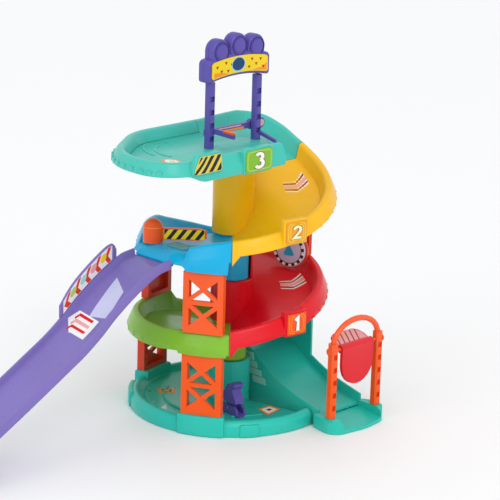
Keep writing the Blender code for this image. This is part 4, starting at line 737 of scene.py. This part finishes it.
# Base: dish, sockets, ribs and prints
rows = []
t, r = WALL, TRACK_R + 2.0
for d in stations(BACK + SEAM, 371.0):
    rows.append(put([(HUB_R + FIT, BASE_FLOOR), (r - 14, BASE_FLOOR), (r - 9, BASE_RIM), (r - 4, BASE_RIM),
                     (r, BASE_RIM - 5), (r, 0), (r - t, 0), (r - t, BASE_RIM - 6), (r - 5, BASE_RIM - t),
                     (r - 8, BASE_RIM - t), (r - 12.5, BASE_FLOOR - t), (HUB_R + FIT, BASE_FLOOR - t)],
                    d, 0.0, 1.6))
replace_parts(piece("base_dish", loft(rows), "teal"), "base_dish")
for name, mid in (("front", FRONT_T), ("rear", REAR_T)):
    piece(name + "_socket", arc_block(90.0, TRACK_R + FLARE, mid - SOCKET, mid + SOCKET, 0.0, 21.0), "teal",
          bevel=1.5)
for name, d0, d1, z1 in (("left_boss", 213.0, 236.0, 15.6), ("front_panel", 322.0, 333.0, 13.0)):
    piece(name, arc_block(r - 4.0, r + 1.6, d0, d1, 0.2, z1), "teal", bevel=1.2)
for k, (r0, d0, d1) in enumerate(((84.0, 214, 284), (66.0, 206, 292), (47.0, 232, 300), (84.0, 316, 352),
                                  (66.0, 318, 346))):
    piece("base_rib_" + str(k), arc_block(r0, r0 + 2.6, d0, d1, BASE_FLOOR - 0.4, BASE_FLOOR + 1.4), "teal",
          bevel=0.7)


def on_base(u, v, h):
    return (u, v, BASE_FLOOR + h)


strip = [(-63, -43), (-50, -28), (-39, -40), (-50, -52)]
centre = Vector((-50.5, -40.8))


def shrunk(outline, middle, share):
    return [tuple(middle + (Vector(p) - middle) * share) for p in outline]


stamp("strip_sticker", [strip], "orange_print", on_base, 0.1, 40.0)
stamp("strip_sticker_inner", [shrunk(strip, centre, 0.72)], "mustard", on_base, 0.2, 40.0)
for k, share in enumerate((0.55, 0.3)):
    stamp("strip_sticker_mark_" + str(k), [shrunk(strip, centre, share)], ("brown", "gold")[k], on_base,
          0.28 + 0.06 * k, 40.0)
stamp("base_arrows", [[(-36, -83), (-35, -72), (-29, -84)], [(-16, -82), (-21, -70), (-9, -79)]], "white",
      on_base, 0.15, 40.0)
diamond, centre = [(51, -9), (51, 10), (67, 10), (71, -13)], Vector((60.0, -0.5))
for k, (share, mat) in enumerate(((1.0, "brown"), (0.93, "orange_print"), (0.66, "white"),
                                  (0.26, "dark_red"))):
    stamp("diamond_sticker_" + str(k), [shrunk(diamond, centre, share)], mat, on_base, 0.08 + 0.07 * k, 40.0)


# Exit lane with its steps in relief
EXIT_LINE = [(0.0, 63.0), (45.0, 54.0), (80.0, 34.0), (110.0, 21.0), (153.0, 10.0)]
IN_Y, OUT_Y, MID_Y = 22.0, 84.0, 53.0
TURN, RED_GAP = math.radians(45.0) * MID_Y, 4.0


def lane_rows(floor, top, foot, place):
    o, t = OUT_Y, WALL
    outline = [(IN_Y, 0), (IN_Y, floor + 5), (IN_Y + t, floor + 5), (IN_Y + t + 0.6, floor), (o, floor),
               (o, top), (o + t, top), (foot, 0), (foot - t, 0), (o + 0.4, floor - t), (IN_Y + t, floor - t),
               (IN_Y + t, 0)]
    return [place(r, z) for r, z in fillet(outline, 0.9)]


rows = []
for d in sorted(stations(90.0, BACK - SEAM, (103.0, 104.0)), reverse=True):
    floor_z = curve_at(EXIT_LINE, math.radians(BACK - d) * MID_Y)
    top = red_z(d) - RED_GAP if d <= 103.0 else floor_z + RIM_H
    rows.append(lane_rows(floor_z, top, OUT_Y + WALL + 14.0 * (d - 90.0) / 45.0,
                          lambda r, z, d=d: polar(r, d, z)))
for x in [2.5 * k for k in range(1, 14)] + [35.0, 36.0] + [36.0 + 2.984 * k for k in range(1, 25)]:
    floor_z = curve_at(EXIT_LINE, TURN + x)
    top = red_z(math.degrees(math.atan2(OUT_Y, x))) - RED_GAP if x <= 35.0 else floor_z + 9.0
    rows.append(lane_rows(floor_z, top, OUT_Y + WALL, lambda r, z, x=x: (x, r, z)))
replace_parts(piece("exit_ramp", loft(rows), "teal"), "exit_ramp")


def on_lane_side(u, v, h):
    return (u, IN_Y - h, v)


for k, (x0, x1, z0, z1) in enumerate(((2, 15, 46, 54), (5, 20, 38.5, 45), (10, 27, 31, 37.5),
                                      (14, 33, 23, 30))):
    stamp("lane_steps_" + str(k), [[(x0, z0), (x1, z0), (x1 - 1.5, z1), (x0 - 1.5, z1)]], "mint",
          on_lane_side, 0.9, 40.0)

# Side slide with its fin, prints and a painted sheen
SLIDE_Y, SLIDE_ROWS, FIN_ROWS, FIN_T = SIDE_TOP_Y - FIT, 77, 29, 2.4
slide_end, fin_start, fin_run = SIDE_RUN[-1][0], FIN_RISE[0][0], FIN_RISE[-1][0] - FIN_RISE[0][0]


def slide_slant(run):
    """How much longer an upright measure is than one square to the slide's floor."""
    return math.hypot(1.0, (curve_at(SIDE_RUN, run + 2.0) - curve_at(SIDE_RUN, run - 2.0)) / 4.0)


rows = []
for k in range(SLIDE_ROWS + 1):
    run = slide_end * k / SLIDE_ROWS
    y, z, up = SLIDE_Y - run, curve_at(SIDE_RUN, run), slide_slant(run)
    low_z = max(0.0, z - SIDE_SKIRT * up)
    under, rim_z = max(z - WALL * up, low_z + 0.8), z + SIDE_RIM_H * up
    outline = [(SIDE_X0, low_z), (SIDE_X0, rim_z), (SIDE_X0 + WALL, rim_z), (SIDE_X0 + WALL + 1.0, z),
               (SIDE_X1 - WALL - 1.0, z), (SIDE_X1 - WALL, rim_z), (SIDE_X1, rim_z), (SIDE_X1, low_z),
               (SIDE_X1 - WALL, low_z), (SIDE_X1 - WALL, under), (SIDE_X0 + WALL, under),
               (SIDE_X0 + WALL, low_z)]
    rows.append([(x, y, h) for x, h in fillet(outline, 0.9)])
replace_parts(piece("side_ramp", loft(rows), "violet"), "side_ramp")
tongue = prism([(SIDE_X0 + 3.4, SLIDE_Y - 1.0), (SIDE_X1 - 3.4, SLIDE_Y - 1.0), (SIDE_X1 - 3.4, -101.0),
                (SIDE_X0 + 3.4, -101.0)], 172.2, 174.3)
piece("side_ramp_tongue", tongue, "violet", bevel=0.3)


def fin_foot(run):
    return curve_at(SIDE_RUN, run) + SIDE_RIM_H * slide_slant(run) + FIT


rows = []
for k in range(FIN_ROWS + 1):
    run = fin_start + fin_run * k / FIN_ROWS
    y, z0 = SLIDE_Y - run, fin_foot(run)
    z1 = z0 + curve_at(FIN_RISE, run)
    rows.append([(x, y, z) for x, z in fillet([(SIDE_X0, z0), (SIDE_X0 + FIN_T, z0), (SIDE_X0 + FIN_T, z1),
                                               (SIDE_X0, z1)], 0.8)])
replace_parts(piece("side_ramp_fin", loft(rows), "violet"), "side_ramp_fin")


def on_fin(u, v, h):
    return (SIDE_X0 + FIN_T + h, SLIDE_Y - u, fin_foot(u) + v * curve_at(FIN_RISE, u) / 20.0)


def on_slide(u, v, h):
    return (u, SLIDE_Y - v, curve_at(SIDE_RUN, v) + h)


stamp("fin_strip", [[(30, 1.5), (93, 1.5), (93, 18), (30, 18)]], "white", on_fin, 0.1, 3.0)
arrow = ((0, 2), (4.5, 2), (9.0, 9.5), (4.5, 17.5), (0, 17.5), (4.5, 9.5))
stamp("fin_marks", [[(u + a, v) for a, v in arrow] for u in range(31, 84, 13)], "brick", on_fin, 0.2, 3.0)
for k, mat in enumerate(("gold", "pink", "mint", "pale_lime")):
    stamp("fin_dot_" + str(k), [oval(41.5 + 13.0 * k, 11.5, 3.9, 4.2, 20)], mat, on_fin, 0.32, 3.0)
# The lighter lilac patch on the slide's floor is a painted sheen, a reflection of light laid on as a flat
# shape.
stamp("slide_painted_sheen", [[(-14, 38), (9, 50), (17, 78), (-6, 81)]], "lilac", on_slide, 0.15, 3.0)
slide_bands = ((5.0, 19.0, "white", 1.0), (-1.8, 2.4, "red", 0.8), (3.7, 2.8, "pink", 0.8),
               (9.2, 2.4, "red", 0.8))
for k, (shift, width, mat, far) in enumerate(slide_bands):
    bend = [(-18.0 - 4.0 * far, 84.0 + 5.0 * far), (-18.0, 84.0), (-18.0 + 27.0 * far, 84.0 + 3.0 * far)]
    outline = stroke([(u, v + shift) for u, v in bend], width)
    stamp("slide_chevron_" + str(k), [outline], mat, on_slide, 0.22 + 0.08 * min(k, 1), 3.0)

# Sign over the deck
SIGN_Y, SIGN_Z, SIGN_H, SIGN_HALF, SIGN_BOW = -8.0, 346.7, 22.8, 43.0, 5.0
LAMP_PITCH, LAMP_R, LAMP_STEP = 24.5, 12.0, 3.62
PLATE_X0, PLATE_X1 = 11.8, 12.8


def sign_z(u, v):
    """Height of a point of the sign, u from its middle, v over its middle line."""
    return SIGN_Z + SIGN_H / 2.0 + v + SIGN_BOW * (1.0 - (u / SIGN_HALF) ** 2)


def sign_band(share_y, share_z, corner):
    """The sign's outline in y and z, bowed up at its middle."""
    half, high = SIGN_HALF * share_y, SIGN_H * share_z / 2.0
    pts = rounded([(-half, -high, corner), (half, -high, corner), (half, high, corner),
                   (-half, high, corner)])
    fine = []
    for a, b in zip(pts, pts[1:] + pts[:1]):
        count = max(1, round(math.hypot(b[0] - a[0], b[1] - a[1]) / 4.0))
        fine += [(a[0] + (b[0] - a[0]) * k / count, a[1] + (b[1] - a[1]) * k / count) for k in range(count)]
    return [(SIGN_Y + u, sign_z(u, v)) for u, v in fine]


lamps = [(i + 2, SIGN_Y + i * LAMP_PITCH, SIGN_Z + SIGN_H + 1.0 - LAMP_STEP * abs(i)) for i in (-1, 0, 1)]
band = sign_band(1.0, 1.0, 4.0)
for name, x0, x1, r0, r1 in (("gantry_rear_shell", -3.5, 3.85, 2.2, 0.0),
                             ("gantry_front_shell", 4.15, 11.5, 0.0, 2.2)):
    bm = slab(band, x0, x1, r0, r1, facing_x)
    for _, y, foot in lamps:
        dome = [(y - LAMP_R, foot), (y + LAMP_R, foot)] + bow(y, foot + 11.15, LAMP_R, 0, 180, 18)
        slab(dome, x0 + (0.5 if r0 else 0.0), x1 - (0.5 if r1 else 0.0), 1.6 * r0, 1.6 * r1, facing_x, bm)
    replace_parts(piece(name, bm, "purple"), name)
face = slab(sign_band(0.9, 0.74, 3.0), PLATE_X0, PLATE_X1, 0, 0.3, facing_x)
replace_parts(piece("gantry_sign_plate", face, "gold", slot="yellow"), "gantry_sign_plate")


def on_sign(u, v, h):
    return (PLATE_X1 + h, SIGN_Y + u, sign_z(u, v))


stamp("sign_edges", [[(-36, -7.4), (-16, -7.6), (-26, -4.0), (-36, -2)],
                     [(16, -7.6), (37, -7.2), (37, 1), (30, -4)]], "orange_print", on_sign, 0.06, 4.0)
marks = [(-32, 2.5), (-26, -3.0), (-20, 4.2), (-17, -4.5), (-12, 1.0), (12, -4.0), (16, 3.8), (22, -1.0),
         (28, 4.0), (32, -3.5)]
stamp("sign_marks", [[(u - 1.8, v + 1.2), (u + 1.8, v + 1.2), (u, v - 1.8)] for u, v in marks], "dark_red",
      on_sign, 0.14, 60.0)
stamp("sign_badge_ring", [oval(-3.0, 0.3, 9.4, 7.4)], "sky", on_sign, 0.2, 60.0)
stamp("sign_badge", [oval(-3.0, 0.3, 8.4, 6.5)], "navy", on_sign, 0.3, 60.0)
for number, y, foot in lamps:
    lens = circle(9.4, 32, y, foot + 10.6)
    piece("lamp_lens_" + str(number), slab(inset(lens, 1.8), 10.5, 12.0, 0, 1.3, facing_x), "purple")
    # The dark violet ring round each lens is painted shade at the lens's edge.
    ring = slab(stroke(lens + lens[:1], 1.2), 10.4, 11.7, 0, 0.3, facing_x)
    piece("lamp_ring_" + str(number), ring, "dark_violet")

# Boom weight, rail tip
BOOM_Z = 294.3
cap = slab(circle(3.6, 24, 36.75, BOOM_Z + 0.3), -0.6, 0.7, 0, 0.5, facing_x)
piece("boom_cap", cap, "beige", body="boom")
tip = rounded([(22.0, 299.0, 0.6), (37.0, 298.6, 0.6), (37.0, 301.0, 0.8), (22.0, 301.1, 0.8)])
piece("rail_tip", slab(tip, -39.8, -36.2, 0.4, 0.4, lambda u, v, w: (u, w, v)), "orange")


def on_boom(u, v, h):
    return (h - 0.55, u, BOOM_Z + v)


for label, u1, v0, v1, mat in (("print", 12, -2.6, -0.2, "orange_print"), ("line", 8, 0.9, 2.3, "pink")):
    stamp("boom_" + label, [[(-34, v0), (u1, v0), (u1, v1), (-34, v1)]], mat, on_boom, 0.1, 60.0,
          body="boom")

# Gate flap prints, on a wing that leans back
GATE_X, GATE_Y, FLAP_Z, WING_T = 127.0, 53.0, 85.0, 0.9
WING_SIN, WING_COS = 0.4226, 0.9063


def on_wing(u, v, h):
    return (GATE_X - WING_COS * u + WING_SIN * (WING_T + h), GATE_Y + v,
            FLAP_Z + WING_SIN * u + WING_COS * (WING_T + h))


wing = [(5.0, -21.5), (12.0, -21.5), (17.5, -18.5), (20.3, -12.5), (20.3, 12.5), (17.5, 18.5), (12.0, 21.5),
        (5.0, 21.5)]
stamp("wing_print", [wing], "pink", on_wing, 0.08, 60.0, body="flap")
lines = [[(5.0, v), (19.6, v + 6.0), (19.6, v + 7.6), (5.0, v + 1.6)]
         for v in (-19.0, -12.0, -5.0, 2.0, 9.0)]
stamp("wing_lines", lines, "dark_red", on_wing, 0.16, 60.0, body="flap")

# Diverter prints, on the side of the arm that faces out
ARM_X, ARM_Y, ARM_FOOT, ARM_HALF = -26.0, -87.0, 187.8, 2.25
ARM_SIN, ARM_COS = 0.6947, 0.7193


def on_arm(u, v, h):
    return (ARM_X + ARM_COS * u + ARM_SIN * (ARM_HALF + h), ARM_Y + ARM_SIN * u - ARM_COS * (ARM_HALF + h),
            ARM_FOOT + v)


stamp("arm_print", [[(11.0, 1.0), (52.0, 1.0), (52.0, 11.0), (11.0, 11.0)]], "gold", on_arm, 0.08, 60.0,
      body="diverter")
bars = [[(u + 31.5, v + 6.0) for u, v in bar] for bar in stripes(20.0, 5.0, 9.5, 0.75, 0.48)]
stamp("arm_stripes", bars, "black", on_arm, 0.16, 60.0, body="diverter")
ring = turned([(9.4, 15.3), (10.1, 15.3), (10.25, 15.7), (10.1, 16.1), (9.4, 16.1)])
piece("knob_seam", ring, "orange_print", body="diverter",
      place=Matrix.Translation((ARM_X, ARM_Y, 185.3)))

# Round sign
ROUND_AT = Vector((14.8, 69.7, 157.1))
ROUND_FACING = Vector(polar(1.0, -70.0, 0.0))
ROUND_ACROSS = Vector((-ROUND_FACING.y, ROUND_FACING.x, 0.0))
ROUND_R, ROUND_T = 18.0, 3.0
CHECKS = 28


def on_round(u, v, h):
    return tuple(ROUND_AT + ROUND_FACING * h + ROUND_ACROSS * u + Vector((0, 0, v)))


disc = slab(circle(ROUND_R, 64), 0.0, ROUND_T, 0.5, 0.8, on_round)
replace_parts(piece("parking_sign", disc, "lilac", slot="grey"), "parking_sign")
wedge = []
for k in range(CHECKS):
    a0, a1 = 2 * math.pi * k / CHECKS, 2 * math.pi * (k + 1) / CHECKS
    wedge.append([(r * math.cos(a), r * math.sin(a))
                  for r, a in ((14.6, a0), (17.3, a0), (17.3, a1), (14.6, a1))])
for mat, first in (("black", 0), ("white", 1)):
    stamp("round_sign_" + mat, wedge[first::2], mat, on_round, ROUND_T + 0.08, 60.0)
edge = circle(14.2, 48)
stamp("round_sign_ring", [stroke(edge + edge[:1], 0.8)], "navy", on_round, ROUND_T + 0.1, 60.0)
mark = rounded([(-7.0, -6.0, 2), (7.0, -6.0, 2), (0.0, 7.5, 2)])
stamp("round_sign_mark", [mark], "blue", on_round, ROUND_T + 0.1, 60.0)

# Lever ridges, up the lever's slanting back
bm = bmesh.new()
slant = math.radians(52.0)
along = Vector((math.cos(slant), math.sin(slant)))
out = Vector((-along.y, along.x))
for k in range(4):
    foot = Vector((-10.6, 12.6)) + along * (3.4 * k)
    ring = [foot + along * p + out * q for p, q in ((-0.8, -1.2), (0.8, -1.2), (0.5, 0.9), (-0.5, 0.9))]
    loft([[(p.x, w, p.y) for p in ring] for w in (-5.2, 5.2)], bm)
turn = Matrix.Translation((42.0, -35.0, 15.8)) @ Matrix.Rotation(math.radians(-10.0), 4, "Z")
piece("lever_ridges", bm, "purple", body="lever", bevel=0.25, place=turn)

# Studio: camera, floor, world and lamps, in metres
LENS, SENSOR, DISTANCE, LOOK_AT = 171.5, 36.0, 2.433, (0.01604, 0.00947, 0.16778)
cam = bpy.data.cameras.new("camera")
cam.lens = LENS
cam.sensor_width = SENSOR
cam_obj = bpy.data.objects.new("camera", cam)
az, el, roll = (math.radians(a) for a in (44.75, 16.07, 1.64))
fwd = Vector((-math.sin(az) * math.cos(el), math.cos(az) * math.cos(el), -math.sin(el)))
right = Vector((math.cos(az), math.sin(az), 0.0))
up = right.cross(fwd)
rr = right * math.cos(roll) + up * math.sin(roll)
uu = -right * math.sin(roll) + up * math.cos(roll)
eye = Vector(LOOK_AT) - fwd * DISTANCE
cam_obj.matrix_world = Matrix(((rr.x, uu.x, -fwd.x, eye.x), (rr.y, uu.y, -fwd.y, eye.y),
                               (rr.z, uu.z, -fwd.z, eye.z), (0, 0, 0, 1)))
bpy.context.scene.collection.objects.link(cam_obj)
bpy.context.scene.camera = cam_obj

bm = bmesh.new()
bmesh.ops.create_grid(bm, x_segments=1, y_segments=1, size=3.0)
mesh = bpy.data.meshes.new("floor")
bm.to_mesh(mesh)
bm.free()
floor_mat = bpy.data.materials.new("floor")
floor_mat.use_nodes = True
floor_shader = floor_mat.node_tree.nodes["Principled BSDF"]
floor_shader.inputs["Base Color"].default_value = (0.95, 0.95, 0.95, 1)
floor_shader.inputs["Roughness"].default_value = 0.6
mesh.materials.append(floor_mat)
floor = bpy.data.objects.new("floor", mesh)
floor.location.z = -0.0004
bpy.context.scene.collection.objects.link(floor)

world = bpy.data.worlds.new("world")
bpy.context.scene.world = world
world.use_nodes = True
nt = world.node_tree
back = nt.nodes["Background"]
back.inputs["Color"].default_value = (0.98, 0.985, 1.0, 1)
back.inputs["Strength"].default_value = 0.86
white = nt.nodes.new("ShaderNodeBackground")
white.inputs["Strength"].default_value = 1.0
paths = nt.nodes.new("ShaderNodeLightPath")
mix = nt.nodes.new("ShaderNodeMixShader")
seen = nt.nodes.new("ShaderNodeMath")
seen.operation = "MAXIMUM"
nt.links.new(paths.outputs["Is Camera Ray"], seen.inputs[0])
nt.links.new(paths.outputs["Is Transmission Ray"], seen.inputs[1])
nt.links.new(seen.outputs["Value"], mix.inputs["Fac"])
nt.links.new(back.outputs["Background"], mix.inputs[1])
nt.links.new(white.outputs["Background"], mix.inputs[2])
nt.links.new(mix.outputs["Shader"], nt.nodes["World Output"].inputs["Surface"])


def light(name, kind, place, size, power, aim=(0.0, 0.0, 0.18)):
    """A sun of some angle, or a round lamp of some size, turned towards the toy."""
    data = bpy.data.lights.new(name, kind)
    if kind == "SUN":
        data.angle = size
    else:
        data.shape = "DISK"
        data.size = size
    data.energy = power
    obj = bpy.data.objects.new(name, data)
    obj.location = place
    obj.rotation_euler = (Vector(aim) - Vector(place)).to_track_quat("-Z", "Y").to_euler()
    bpy.context.scene.collection.objects.link(obj)


light("key", "SUN", (1.1, -0.5, 1.5), 0.5, 0.7)
light("front", "AREA", (0.1, -2.2, 1.1), 1.4, 7.0)
light("side", "AREA", (2.2, -0.6, 0.6), 1.2, 3.0)
bpy.context.scene.view_settings.view_transform = "Standard"
